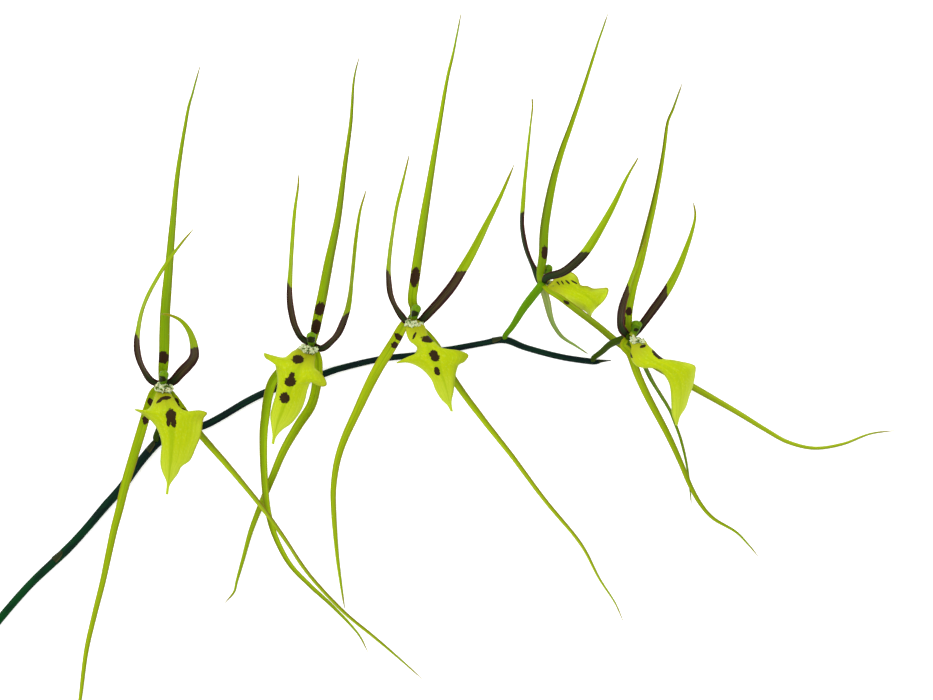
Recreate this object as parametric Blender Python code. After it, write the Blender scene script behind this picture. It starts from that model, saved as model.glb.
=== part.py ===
"""Brassia orchid: a cut flower spray of five open spider blooms, lying on a flat surface.

The stem runs from its cut end at -X to its tip at +X. +Y is the way the dorsal sepals point,
and +Z is up from the surface, the way the blooms look. The origin is on the surface, under the
middle of the spray. Every length below is in millimetres and becomes metres when a mesh is made.
"""

import math

import bmesh
import bpy
from mathutils import Vector

# Driving dimensions, in millimetres
MM = 0.001
BLADE_THICKNESS = 0.8
SEAT_GAP = 0.3
PEDICEL_CLEARANCE = 0.3
SURFACE = BLADE_THICKNESS / 2
ROOT_RADIUS = 2.55
CLAW_REACH = 5.0
RECEPTACLE_RADIUS = 1.85
OVARY_RADIUS = 1.75
PEDICEL_RADIUS = 1.25
COLUMN_RADIUS = 1.9
LIP_THICKNESS = 0.9
STEM_LIFT = 0.96
CHANNEL = 0.32
TURN_STATIONS = (0.16, 0.5, 1.0)

# Widest breadth of each kind of blade
BREADTH = {"dorsal_sepal": 4.7, "lateral_sepal": 4.8, "petal": 4.7}

# Breadth along a blade as (share of its length, share of its widest breadth)
BLADE_OUTLINE = {
    "dorsal_sepal": ((0, 0.5), (0.07, 0.92), (0.14, 1), (0.27, 0.97), (0.42, 0.78), (0.55, 0.58),
                     (0.7, 0.42), (0.85, 0.3), (1, 0.13)),
    "lateral_sepal": ((0, 0.38), (0.06, 0.9), (0.13, 1), (0.22, 0.96), (0.35, 0.8), (0.5, 0.64),
                      (0.7, 0.48), (0.87, 0.32), (1, 0.13)),
    "petal": ((0, 0.38), (0.1, 0.9), (0.25, 1), (0.42, 0.93), (0.6, 0.7), (0.75, 0.48),
              (0.9, 0.27), (1, 0.14)),
}

# Stem centreline on the surface as (x, y, radius), from the cut end to the tip
STEM_COURSE = (
    (-218, -144.5, 2.0), (-208.6, -132.8, 2.0), (-196.4, -117, 2.0), (-184.3, -101.7, 2.0),
    (-171.2, -86.9, 2.0), (-155.9, -72.5, 2.3), (-147.4, -63.4, 2.1), (-137.9, -52.2, 2.3),
    (-130.3, -43.6, 2.3), (-122.6, -32.9, 2.2), (-113.6, -22.8, 2.2), (-105.5, -19.2, 2.1),
    (-93.4, -15.8, 2.0), (-85.3, -11.7, 2.0), (-74, -5, 2.0), (-64.1, -0.2, 2.0),
    (-51.5, 4.2, 2.1), (-40.3, 7.2, 1.9), (-31.3, 10.2, 1.8), (-13.3, 14.4, 1.7),
    (1.6, 16, 1.7), (9.2, 17.4, 1.8), (19.1, 18.9, 1.6), (33.5, 21.6, 1.5), (43, 23, 1.7),
    (52.9, 19.4, 1.4), (68.6, 15.3, 1.4), (83, 13.2, 1.4), (86, 13.4, 0.9),
)

# Each bloom: seat of the flower, its face and upward directions, the stem joint that carries it,
# and the way points of its ovary from that joint to the flower, all in spray coordinates
BLOOMS = {
    1: {"seat": (-110.9, 2.7, 26), "face": (0.12, -0.1, 1), "up": (0.05, 1, 0.1),
        "joint": 10, "ovary": ((-112.6, -15, 11), (-111.6, -6, 17.5), (-111.1, 0.6, 21))},
    2: {"seat": (-43.9, 20.7, 24), "face": (-0.1, -0.1, 1), "up": (0.12, 1, 0.1),
        "joint": 16, "ovary": ((-48.6, 11, 10), (-46, 16, 15.5), (-44.3, 19.6, 19))},
    3: {"seat": (1.6, 34.2, 26), "face": (0.15, -0.12, 1), "up": (0.12, 1, 0.1),
        "joint": 21, "ovary": ((6.6, 24, 10), (3.8, 30, 16), (2.0, 33, 21))},
    4: {"seat": (59.2, 47.7, 36), "face": (0.85, 0.25, -0.42), "up": (-0.3, 1, 0),
        "joint": 24, "ovary": ((46.5, 29.5, 10), (51.4, 37.5, 22), (55.5, 44.6, 32.5))},
    5: {"seat": (98.4, 24.6, 31), "face": (0.9, -0.12, 0.42), "up": (0.12, 1, 0),
        "joint": 27, "ovary": ((86.6, 17.6, 9.5), (90.4, 21, 18), (94.4, 23.6, 26.5))},
}

# Each blade: its kind, the angle of its root round the flower, its turn about its own midline in
# degrees at a sixth, a half and all of its length, and its midline's way points. A way point is
# (x, y) from the flower's seat and the height above the surface.
BLADES = {
    "bloom_1_dorsal_sepal": ("dorsal_sepal", 90, (0, 0, 0), (
        (0.5, 15, 29.5), (1, 33, 31), (2.7, 53.5, 29), (4.5, 74, 24.5), (6.3, 93, 18),
        (9, 111, 10), (11.5, 125, 2.6), (13.2, 131, 0.3), (14.8, 137, 0.3), (16.6, 143.5, 0.3))),
    "bloom_1_petal_left": ("petal", 145, (-60, -64, -10), (
        (-7.8, 7.2, 32), (-10.6, 15.7, 37), (-10.8, 24, 41), (-8.4, 35.5, 46), (-3, 47, 49),
        (3, 56.7, 49.5), (9.2, 65, 48), (13.5, 70, 46))),
    "bloom_1_petal_right": ("petal", 25, (0, 0, 0), (
        (8, 5.5, 32), (13.5, 12, 41), (14, 17.5, 49), (12, 24, 57), (8, 29, 62.5),
        (3, 31.5, 65), (-0.5, 32, 66))),
    "bloom_1_lateral_sepal_left": ("lateral_sepal", 222, (0, 0, 0), (
        (-6.2, -8.5, 26), (-10.8, -24, 23), (-16.7, -43.7, 18), (-19.4, -55, 15.5),
        (-22.5, -67, 13), (-27, -88, 9), (-31, -104, 6.5), (-34.7, -120.6, 4.2),
        (-37.4, -141.8, 1.8), (-41, -162, 0.4), (-42.8, -173, 0.4))),
    "bloom_1_lateral_sepal_right": ("lateral_sepal", 318, (35, 45, 0), (
        (8.5, -10.5, 25), (17, -22, 22.5), (28.4, -35, 19), (38.3, -46.8, 16),
        (46.8, -57.6, 13.5), (54.5, -68.4, 11.5), (65.7, -85, 8), (81, -101.7, 4.6),
        (95, -113.4, 2), (107.6, -124.2, 0.4), (116.6, -132.3, 0.4))),
    "bloom_2_dorsal_sepal": ("dorsal_sepal", 84, (0, 0, 0), (
        (2.9, 13.5, 27.5), (4.8, 22.5, 29), (7.7, 37.8, 28.5), (11.7, 57.2, 25),
        (14.6, 78.8, 19), (16.2, 90.5, 14.5), (17.6, 101.3, 10.5), (18.9, 119.3, 3.5),
        (21.2, 129.6, 0.4))),
    "bloom_2_petal_left": ("petal", 140, (-58, -62, -10), (
        (-7.2, 10.8, 31), (-9.6, 21.6, 36), (-9.3, 32.4, 39.5), (-8.6, 46, 41), (-7.7, 60, 40),
        (-6.3, 70.7, 38), (-5.9, 77, 36.5))),
    "bloom_2_petal_right": ("petal", 8, (44, 66, 10), (
        (7.2, 1.9, 28.5), (12.2, 7.9, 33), (15, 14, 37), (16.6, 21.6, 41), (17.9, 32.4, 44.5),
        (19.4, 46, 46), (21.6, 60, 45), (24.3, 69.3, 43))),
    "bloom_2_lateral_sepal_left": ("lateral_sepal", 212, (0, 0, 0), (
        (-10.5, -8, 23), (-17.2, -15.6, 20), (-19.6, -23, 17.5), (-20.9, -31.5, 15),
        (-21.8, -41, 12.5), (-21.6, -56.3, 9.5), (-20.3, -71.6, 7.5), (-17.1, -84.6, 6),
        (-10.4, -98, 4.5), (-1.1, -108, 3), (9.7, -118, 1.4), (20.5, -129.6, 0.4),
        (25.2, -138.2, 0.4))),
    "bloom_2_lateral_sepal_right": ("lateral_sepal", 300, (30, 0, 0), (
        (2.8, -9.5, 21), (2.4, -18, 18), (0, -27, 15), (-5.9, -36, 12), (-12.6, -47.3, 8.5),
        (-18, -59.9, 5), (-23, -72, 2.6), (-27.5, -83.7, 1.4), (-31, -96.3, 0.8),
        (-33.8, -106.2, 0.4), (-35.1, -111.2, 0.4), (-39.2, -116, 0.4))),
    "bloom_3_dorsal_sepal": ("dorsal_sepal", 90, (0, 0, 0), (
        (-0.4, 7.5, 28), (0.9, 17, 30), (2.5, 28, 31), (4.5, 41.4, 30.5), (7.2, 58, 28),
        (9.9, 74.3, 23.5), (12.2, 87.8, 18), (15.3, 105.8, 8.2), (18, 117.5, 1.6),
        (19.2, 123.5, 0.3), (20.3, 129, 0.3), (21.6, 135.9, 0.3))),
    "bloom_3_petal_left": ("petal", 145, (-64, -68, -10), (
        (-7.6, 7.0, 31), (-9.9, 14.4, 35), (-10.5, 22.5, 39), (-9.4, 33.3, 42.5),
        (-7.2, 48.2, 44), (-4.5, 60.3, 43.5), (-1.8, 72, 41.5))),
    "bloom_3_petal_right": ("petal", 20, (0, 0, 0), (
        (11.3, 6.8, 31), (17.6, 13.7, 33), (21.6, 19.4, 34), (27, 28.8, 35), (32.9, 40.5, 34.5),
        (39.6, 54, 32.5), (45.5, 67.7, 29))),
    "bloom_3_lateral_sepal_left": ("lateral_sepal", 222, (0, 10, 0), (
        (-8.2, -11.5, 23.5), (-16.7, -25.7, 19.5), (-24.3, -41.4, 15), (-32.4, -59.9, 9.5),
        (-35.6, -75.6, 5.5), (-35.6, -90, 2.5), (-34.2, -107.6, 0.4), (-32.4, -121.5, 0.4),
        (-30.8, -131.9, 0.4))),
    "bloom_3_lateral_sepal_right": ("lateral_sepal", 318, (25, 25, 0), (
        (11, -14.5, 22.5), (19.4, -30.2, 18.5), (32, -47.3, 14), (45, -63.9, 10),
        (59.4, -83.3, 6), (75.2, -102.6, 2.6), (83.7, -118.4, 0.4), (90.7, -129.2, 0.4),
        (94.5, -137.7, 0.4))),
    "bloom_4_dorsal_sepal": ("dorsal_sepal", 90, (180, 185, 180), (
        (0.9, 15.3, 40), (2.3, 27.5, 41), (5.4, 42.8, 39.5), (8.6, 57.6, 36),
        (14, 72.7, 30.5), (18.9, 87.8, 22.5), (24.3, 104.9, 10.5), (30, 122, 0.4))),
    "bloom_4_petal_left": ("petal", 30, (110, 110, 110), (
        (-6.3, 13.5, 31), (-8.6, 22.5, 29.5), (-9, 31.7, 28.5), (-7.7, 46.8, 26.5),
        (-5.9, 63.5, 23), (-4, 78.8, 18), (-4, 83.7, 16))),
    "bloom_4_petal_right": ("petal", 150, (185, 180, 180), (
        (9.5, 5.6, 43), (15.3, 9.9, 45), (20.3, 15.3, 46), (26.1, 24.3, 46), (32.9, 36.5, 43.5),
        (38.7, 48.6, 39), (43.7, 57.2, 34.5))),
    "bloom_4_lateral_sepal_left": ("lateral_sepal", 325, (20, 0, 0), (
        (2.7, -7.2, 26), (4, -13.5, 16), (6, -18.6, 7.5), (9.7, -23, 2), (15.6, -26.5, 0.4),
        (21, -29.6, 0.4))),
    "bloom_4_lateral_sepal_right": ("lateral_sepal", 225, (15, 0, 0), (
        (5.0, -6, 41), (9.7, -8.4, 39), (17.6, -13.4, 30.5), (25.7, -18.9, 18.5), (35.6, -26.6, 8.5),
        (45, -32.5, 4.2), (55, -38.5, 2.6), (68.4, -45.9, 1.4), (86.6, -56.3, 0.4),
        (101.3, -65.3, 0.4), (111.2, -70.7, 0.4), (122.9, -73.4, 0.4), (135.5, -71.6, 1.2),
        (148, -67, 1.6), (158.9, -65.5, 0.4))),
    "bloom_5_dorsal_sepal": ("dorsal_sepal", 90, (20, 10, 0), (
        (-0.1, 12.6, 30), (1.8, 22.5, 30), (5.2, 34.2, 29), (9.5, 51.3, 25.5),
        (13, 66.8, 20), (15.8, 82.4, 13.5), (17.6, 95.4, 7), (20.3, 102.6, 3.4),
        (24.3, 113.9, 0.4))),
    "bloom_5_petal_left": ("petal", 150, (-60, -60, -20), (
        (-3.0, 7.2, 37), (-2.0, 13.5, 42.5), (0.6, 21.6, 49.5), (3.4, 30, 56.5), (5.9, 37, 62.5),
        (8.2, 44.5, 68))),
    "bloom_5_petal_right": ("petal", 30, (10, 0, 0), (
        (10.4, 11, 27.5), (17.1, 20.3, 27), (21.8, 28.8, 26.5), (25.7, 38.3, 25.5),
        (28.8, 47.5, 24), (30.2, 54.5, 22.5), (29.3, 60.3, 21))),
    "bloom_5_lateral_sepal_left": ("lateral_sepal", 246, (25, 0, 0), (
        (1.0, -8, 30.5), (4.6, -17.5, 29), (9.5, -28.1, 26), (17.6, -43.7, 19),
        (23.4, -56.3, 12.5), (27.5, -66.2, 8), (32.4, -75.2, 4.4), (38.3, -81.9, 2),
        (48.2, -87.8, 0.4), (54, -93.6, 0.4), (58.5, -99, 0.4))),
    "bloom_5_lateral_sepal_right": ("lateral_sepal", 318, (50, 40, 0), (
        (5.4, -9.5, 24), (10.8, -19.8, 17.5), (14.4, -25.7, 13.5), (18.7, -32.9, 9),
        (21.2, -39.2, 6), (24.1, -47.7, 3.2), (26.6, -59.4, 0.8), (27.9, -70.2, 0.4),
        (28.4, -75.6, 0.4))),
}

# Each lip as ribs from its narrow seat over the side points to its tail. A rib is its left end, its
# middle with the height above the surface, and its right end: x, y, x, y, height, x, y from the seat
LIP_RIBS = {
    1: (
        (-1.5, -2, 0.4, -2.2, 27, 2.3, -2), (-2.7, -4, 1.4, -4.9, 31, 4.3, -4.2),
        (-3.8, -7.1, 2.7, -7.8, 35, 6, -6.9), (-5.3, -10.2, 3.6, -10.4, 36.6, 8.6, -10.4),
        (-8.7, -10.5, 4.1, -12, 36.8, 12.8, -11.9), (-11.3, -10.9, 4.3, -13.6, 36.7, 16.8, -11.3),
        (-10, -12, 4.4, -14.9, 36.5, 20.4, -12.4), (-6.9, -13.8, 4.5, -16.5, 36.1, 18.8, -14.9),
        (-4.3, -16.5, 4.5, -19.2, 35.3, 18.2, -18.3), (-1.6, -20.5, 4.4, -23.2, 34, 17.4, -22.8),
        (-0.1, -25.9, 4.1, -28.2, 32.6, 15.1, -28.2), (-0.6, -31.3, 3.9, -33.1, 31.2, 12.6, -33.6),
        (-0.7, -35.8, 3.6, -36.7, 30.1, 8.7, -36.6), (0.3, -39.4, 3.2, -40.8, 29.1, 6.9, -39.9),
        (2.1, -43.5, 2.7, -44.8, 28.3, 3.5, -44.8), (1.7, -49.1, 2.2, -49.1, 27.8, 2.7, -49.1),
    ),
    2: (
        (-1.9, -1.8, -0.2, -2.2, 25, 1.5, -2.2), (-5.2, -1.8, -1.8, -5.4, 29, 1.6, -5.2),
        (-8.2, -2.7, -3.7, -8.1, 33, 1.4, -8.1), (-12.2, -5.6, -5.4, -10.8, 35.5, 1.7, -10.5),
        (-18, -4.5, -6.3, -12.3, 36, 3.8, -12.3), (-21.2, -3.7, -7, -13.7, 36.1, 6.2, -15.2),
        (-20.2, -6.1, -7.7, -15, 36, 6.7, -18.1), (-16.8, -7.2, -8.3, -16.6, 35.7, 3.7, -18.4),
        (-15.7, -11.2, -9.5, -19.3, 35, 0.1, -16.4), (-15.1, -16.1, -10.9, -22.9, 33.8, -1.7, -19.7),
        (-15.8, -21.5, -12.2, -26.4, 32.4, -2.8, -24.2), (-17.4, -26.9, -13.6, -30.3, 31, -4.7, -29.2),
        (-18.4, -31.9, -14.9, -33.9, 29.8, -8.7, -34.8), (-17.9, -36.8, -15.9, -37.5, 28.8, -13.2, -38.1),
        (-17.4, -40.8, -16.7, -41.3, 28, -15.9, -41.3), (-17.8, -44.3, -17.3, -44.4, 27.5, -16.9, -44.6),
    ),
    3: (
        (-1.8, -2.1, 0.1, -2.3, 27, 2.1, -2.1), (-2.9, -4.5, 1.4, -5.4, 31, 5, -4.5),
        (-3, -7.7, 3.2, -8.6, 34.5, 6.6, -8.8), (-1.5, -11.5, 5.3, -11.3, 36.3, 9.3, -11.9),
        (1.9, -14.6, 6.8, -13.7, 36.8, 12.9, -14.9), (0.6, -17.8, 7.9, -15.8, 36.8, 17.6, -15.8),
        (-3.9, -19.8, 8.8, -17.3, 36.6, 21.8, -16.4), (-7.4, -21.6, 9.7, -19.1, 36.3, 24.9, -18.1),
        (-3.5, -21.3, 10.6, -20.9, 35.9, 23.2, -20.9), (0.5, -22.2, 11.5, -23.1, 35.3, 20.5, -22.5),
        (4.8, -24.9, 12.6, -26.1, 34.3, 19.3, -26.1), (8.4, -29.2, 14, -29.6, 33.1, 18.7, -30.1),
        (10.2, -33.7, 15.3, -33.7, 31.9, 18.2, -34.6), (12.8, -37.9, 16.2, -37.5, 30.9, 17.4, -38.2),
        (15.5, -40.6, 17, -40.6, 30.1, 17.4, -40.9), (17.0, -43.3, 17.5, -43.3, 29.6, 17.9, -43.4),
    ),
    4: (
        (1.9, -1.4, 1.4, -2.1, 35.7, 1.6, -2.7), (4.0, 0.6, 4.5, -1.3, 34, 4.7, -2.8),
        (9.2, 5.9, 8.4, -0.1, 32.3, 7.9, -4.6), (13.5, 5.4, 11.5, -0.6, 30.5, 11.1, -6.6),
        (16, 3.5, 14.2, -1.2, 28.8, 13.8, -8.2), (17.6, -0.1, 16.5, -2.2, 27.2, 16.1, -9.6),
        (20.6, -0.6, 18.8, -3.2, 25.6, 17.9, -10.7), (23.3, -1.7, 20.6, -4.5, 24, 19.3, -11.4),
        (26.5, -1.6, 22, -5.9, 22.4, 20.2, -12), (29.4, -1.4, 23.1, -7.2, 20.8, 20.8, -12.6),
        (30.1, -2.7, 23.8, -8.3, 19.2, 21.1, -13), (29.1, -5.6, 24.1, -9.4, 17.6, 21.4, -13.4),
        (27.1, -8.2, 24, -10.6, 16, 21.6, -13.6), (24.6, -9.8, 23.6, -11.4, 14.4, 21.8, -13.7),
        (23.3, -11.9, 22.8, -12.6, 12.9, 21.9, -13.8), (22.5, -14.0, 22, -14.1, 11.5, 21.6, -14.3),
    ),
    5: (
        (0.5, -2.6, 0.9, -2.4, 32.2, 1.9, -2.1), (1.2, -4.8, 2.9, -3.7, 35.4, 6.8, -1.7),
        (0.9, -9.3, 5.6, -5.7, 36.6, 8.5, -3.9), (3.1, -12.9, 8, -8.2, 38, 10.9, -6.2),
        (6.6, -14.1, 10.4, -10.2, 38.5, 13.3, -8.6), (9.8, -14.1, 12.9, -11.7, 38.7, 15.8, -10.2),
        (12.7, -14.6, 15.4, -13.1, 38.6, 19.2, -10.6), (14.9, -16.1, 17.8, -14.6, 38.2, 23, -11.3),
        (16.7, -18.5, 19.9, -16.4, 37.4, 27, -12.1), (17.9, -20.7, 21.5, -18.7, 36, 29.8, -13.5),
        (18.7, -23.6, 22.6, -21.6, 34.2, 29.8, -16.9), (19.1, -27.7, 23.1, -25.4, 31.8, 29, -21.6),
        (19.3, -31.3, 23, -29.5, 29.2, 27.3, -26.8), (19.6, -34.9, 22.6, -33.5, 26.6, 25.7, -32),
        (20.6, -37.8, 22.1, -36.9, 24.2, 23.3, -35.8), (21.4, -39.9, 21.8, -39.7, 22, 22.2, -39.5),
    ),
}

# How far each side falls against its breadth, and how far it rolls back in degrees, left and right
LIP_FALL = {1: (0.55, 0.22), 2: (0.5, 0.3), 3: (0.3, 0.35), 4: (-1.3, 0.9), 5: (0.45, 0.6)}
LIP_ROLL = {1: (88, 45), 2: (84, 60), 3: (55, 70), 4: (40, 40), 5: (85, 40)}
FALL_REACH = 8.0

STATIONS = {"dorsal_sepal": 15, "lateral_sepal": 17, "petal": 12}
LIP_CELLS_ACROSS = 8
KEEL_HEIGHT = 1.4
KEEL_PLACE = 0.5
KEEL_BREADTH = 0.3
KEEL_RIBS = 3
STEM_SIDES = 8
OVARY_SIDES = 9


def clear_scene():
    """Empty the file that the script starts from."""
    for item in list(bpy.data.objects):
        bpy.data.objects.remove(item, do_unlink=True)


def plant_material(name, colour, roughness):
    """One plain living-tissue material for the nodes that share it."""
    material = bpy.data.materials.new(name)
    material.use_nodes = True
    shader = material.node_tree.nodes["Principled BSDF"]
    shader.inputs["Base Color"].default_value = (*colour, 1.0)
    shader.inputs["Roughness"].default_value = roughness
    shader.inputs["Metallic"].default_value = 0.0
    return material


def read_outline(outline, share):
    """Value of a (share, value) outline at a share of the length."""
    for (low, start), (high, end) in zip(outline, outline[1:]):
        if share <= high:
            step = (share - low) / (high - low)
            return start + (end - start) * step
    return outline[-1][1]


def smooth_course(points, count):
    """Evenly spaced points on one smooth curve through the way points."""
    points = [Vector(point) for point in points]
    ends = [2 * points[0] - points[1]] + points + [2 * points[-1] - points[-2]]
    dense = []
    for before, start, end, after in zip(ends, ends[1:], ends[2:], ends[3:]):
        for step in range(12):
            t = step / 12
            dense.append(0.5 * (2 * start + (end - before) * t
                                + (2 * before - 5 * start + 4 * end - after) * t * t
                                + (3 * start - before - 3 * end + after) * t ** 3))
    dense.append(points[-1])
    reach = [0.0]
    for start, end in zip(dense, dense[1:]):
        reach.append(reach[-1] + (end - start).length)
    course = []
    place = 0
    for index in range(count + 1):
        goal = reach[-1] * index / count
        while place < len(dense) - 2 and reach[place + 1] < goal:
            place += 1
        step = (goal - reach[place]) / (reach[place + 1] - reach[place])
        course.append(dense[place].lerp(dense[place + 1], step))
    return course


def headings(course):
    """Unit direction of the course at each of its points."""
    found = []
    for index in range(len(course)):
        start = course[max(index - 1, 0)]
        end = course[min(index + 1, len(course) - 1)]
        found.append((end - start).normalized())
    return found


def square_to(direction, heading):
    """Unit part of a direction that is square to the heading."""
    return (direction - heading * direction.dot(heading)).normalized()


def turned_up(heading, degrees):
    """The direction nearest to straight up that is square to the heading, turned about it."""
    upward = square_to(Vector((0, 0, 1)), heading)
    side = heading.cross(upward)
    angle = math.radians(degrees)
    return upward * math.cos(angle) + side * math.sin(angle)


def blend_directions(stations, share):
    """Direction at a share of the length, between the (share, direction) stations round it."""
    for (low, start), (high, end) in zip(stations, stations[1:]):
        if share <= high:
            step = (share - low) / (high - low)
            step = step * step * (3 - 2 * step)
            return start.lerp(end, step)
    return stations[-1][1].copy()


def finish_object(name, mesh_maker, material):
    """Link a bmesh, given in millimetres, as a node in metres."""
    bmesh.ops.scale(mesh_maker, vec=Vector((MM, MM, MM)), verts=mesh_maker.verts)
    mesh = bpy.data.meshes.new(name)
    mesh_maker.to_mesh(mesh)
    mesh_maker.free()
    mesh.materials.append(material)
    mesh.shade_smooth()
    node = bpy.data.objects.new(name, mesh)
    bpy.context.scene.collection.objects.link(node)
    return node


def thicken(node, thickness):
    """Give a sheet its thickness, half to each side."""
    solidify = node.modifiers.new("Thickness", "SOLIDIFY")
    solidify.thickness = thickness * MM
    solidify.offset = 0.0


def make_sheet(name, across, along, place_point, material, thickness):
    """A grid shaped by place_point(share along, -1 to 1 across), split alike on both faces."""
    sheet = bmesh.new()
    bmesh.ops.create_grid(sheet, x_segments=across, y_segments=along, size=1.0)
    for vertex in sheet.verts:
        vertex.co = place_point((vertex.co.y + 1) / 2, vertex.co.x)
    bmesh.ops.triangulate(sheet, faces=sheet.faces)
    node = finish_object(name, sheet, material)
    thicken(node, thickness)
    return node


def make_tube(name, course, radii, sides, material, groove=0.0, floor=None):
    """A solid tube along a course, one radius for each point, with rounded ridges if grooved."""
    tube = bmesh.new()
    steps = len(course) - 1
    bmesh.ops.create_cone(tube, cap_ends=True, segments=sides, radius1=1.0, radius2=1.0, depth=1.0)
    lengthwise = [edge for edge in tube.edges if abs(edge.verts[0].co.z - edge.verts[1].co.z) > 0.5]
    bmesh.ops.subdivide_edges(tube, edges=lengthwise, cuts=steps - 1, use_grid_fill=True)
    directions = headings(course)
    outward = square_to(Vector((0, 0, 1)), directions[0])
    outwards = []
    for heading in directions:
        outward = square_to(outward, heading)
        outwards.append(outward)
    for vertex in tube.verts:
        index = round((vertex.co.z + 0.5) * steps)
        angle = math.atan2(vertex.co.y, vertex.co.x)
        side = directions[index].cross(outwards[index])
        reach = radii[index] * (1 - groove * (1 + math.cos(3 * angle)) / 2)
        vertex.co = course[index] + (outwards[index] * math.cos(angle) + side * math.sin(angle)) * reach
        if floor is not None:
            vertex.co.z = max(vertex.co.z, floor)
    return finish_object(name, tube, material)


def bloom_frame(number):
    """Seat, right, up and face directions of a bloom, as seen by someone looking at its face."""
    bloom = BLOOMS[number]
    face = Vector(bloom["face"]).normalized()
    upward = square_to(Vector(bloom["up"]), face)
    return Vector(bloom["seat"]), upward.cross(face), upward, face


def root_points(number, degrees, radius, lift, reach, rise):
    """First two points of an organ: at the receptacle's rim, and further out from there."""
    seat, right, upward, face = bloom_frame(number)
    angle = math.radians(degrees)
    outward = right * math.cos(angle) + upward * math.sin(angle)
    return (seat + outward * radius + face * lift, seat + outward * reach + face * rise)


def place_way_points(number, points):
    """Way points of an organ in spray coordinates."""
    seat = Vector(BLOOMS[number]["seat"])
    return [Vector((seat.x + x, seat.y + y, height)) for x, y, height in points]


def make_blade(name, material):
    """One sepal or petal: a long channelled blade on its own curved midline."""
    kind, degrees, turns, points = BLADES[name]
    number = int(name.split("_")[1])
    face = bloom_frame(number)[3]
    lift = 0.9 if kind == "petal" else -0.9
    way = list(root_points(number, degrees, ROOT_RADIUS, lift, CLAW_REACH, lift * 1.6))
    way += place_way_points(number, points)
    count = STATIONS[kind]
    course = smooth_course(way, count)
    for point in course:
        point.z = max(point.z, SURFACE)
    directions = headings(course)
    fronts = [(0.0, face)]
    for share, turn in zip(TURN_STATIONS, turns):
        fronts.append((share, turned_up(directions[round(share * count)], turn)))
    half_breadth = BREADTH[kind] / 2

    def place_point(share, across):
        index = round(share * count)
        centre, heading = course[index], directions[index]
        front = square_to(blend_directions(fronts, share), heading)
        side = heading.cross(front)
        half = half_breadth * read_outline(BLADE_OUTLINE[kind], share)
        resting = min(1.0, max(0.0, (centre.z - SURFACE) / 2.0))
        if centre.z < SURFACE + 0.01:
            side.z = 0.0
            side.normalize()
        point = centre + side * (across * half) + front * (CHANNEL * half * across ** 2 * resting)
        point.z = max(point.z, SURFACE)
        return point

    return make_sheet(name, 2, count, place_point, material, BLADE_THICKNESS)


def make_lip(number, material):
    """The lip: a narrow keeled seat that widens into a side-pointed, tailed, rolled-back sheet."""
    seat = Vector(BLOOMS[number]["seat"])
    face = bloom_frame(number)[3]
    ribs = LIP_RIBS[number]
    steps = len(ribs) - 1

    def place_point(share, across):
        index = round(share * steps)
        left_x, left_y, middle_x, middle_y, height, right_x, right_y = ribs[index]
        which = 0 if across < 0 else 1
        middle = Vector((seat.x + middle_x, seat.y + middle_y, height))
        edge_x, edge_y = (left_x, left_y) if across < 0 else (right_x, right_y)
        edge = Vector((seat.x + edge_x, seat.y + edge_y, height))
        roll = math.radians(LIP_ROLL[number][which])
        turn = roll * abs(across)
        point = middle.lerp(edge, math.sin(turn) / math.sin(roll))
        fall = LIP_FALL[number][which] * min((edge - middle).length, FALL_REACH)
        point.z -= fall * (1 - math.cos(turn)) / (1 - math.cos(roll))
        if 0 < index < KEEL_RIBS:
            point += face * (KEEL_HEIGHT * math.exp(-((abs(across) - KEEL_PLACE) / KEEL_BREADTH) ** 2))
        return point

    return make_sheet(f"bloom_{number}_lip", LIP_CELLS_ACROSS, steps, place_point, material,
                      LIP_THICKNESS)


def make_column(number, material):
    """The short column that stands before the dorsal sepal, with its rounded anther cap."""
    seat, right, upward, face = bloom_frame(number)
    base = seat + face * 1.6 + upward * 0.35
    way = [base, base + face * 2.4 + upward * 0.9, base + face * 4.6 + upward * 2.4,
           base + face * 6.0 + upward * 4.2]
    course = smooth_course(way, 7)
    radii = [COLUMN_RADIUS * share for share in (0.62, 0.72, 0.78, 0.86, 0.98, 1.0, 0.78, 0.3)]
    return make_tube(f"bloom_{number}_column", course, radii, 8, material)


def stem_joint(number):
    """Place, direction and radius of the stem where it carries a bloom."""
    index = BLOOMS[number]["joint"]
    x, y, radius = STEM_COURSE[index]
    before, after = STEM_COURSE[index - 1], STEM_COURSE[index + 1]
    heading = Vector((after[0] - before[0], after[1] - before[1], 0)).normalized()
    return Vector((x, y, radius * STEM_LIFT)), heading, radius


def make_ovary(number, material):
    """Pedicel and ribbed ovary, from the stem up to the receptacle behind the flower."""
    joint, heading, stem_radius = stem_joint(number)
    seat, right, upward, face = bloom_frame(number)
    points = [Vector(point) for point in BLOOMS[number]["ovary"]]
    away = square_to(points[0] - joint, heading)
    start = joint + away * (stem_radius + SEAT_GAP + PEDICEL_CLEARANCE)
    way = [start, start + away * 2.0] + points[:-1] + [seat - face * 4.0, seat - face * 1.2]
    course = smooth_course(way, 10)
    radii = [PEDICEL_RADIUS + (OVARY_RADIUS - PEDICEL_RADIUS) * min(1.0, step / 7)
             for step in range(11)]
    course += [seat - face * 0.6, seat + face * 0.5, seat + face * 0.9]
    radii += [RECEPTACLE_RADIUS, RECEPTACLE_RADIUS, RECEPTACLE_RADIUS * 0.7]
    return make_tube(f"bloom_{number}_ovary", course, radii, OVARY_SIDES, material, groove=0.12)


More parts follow.
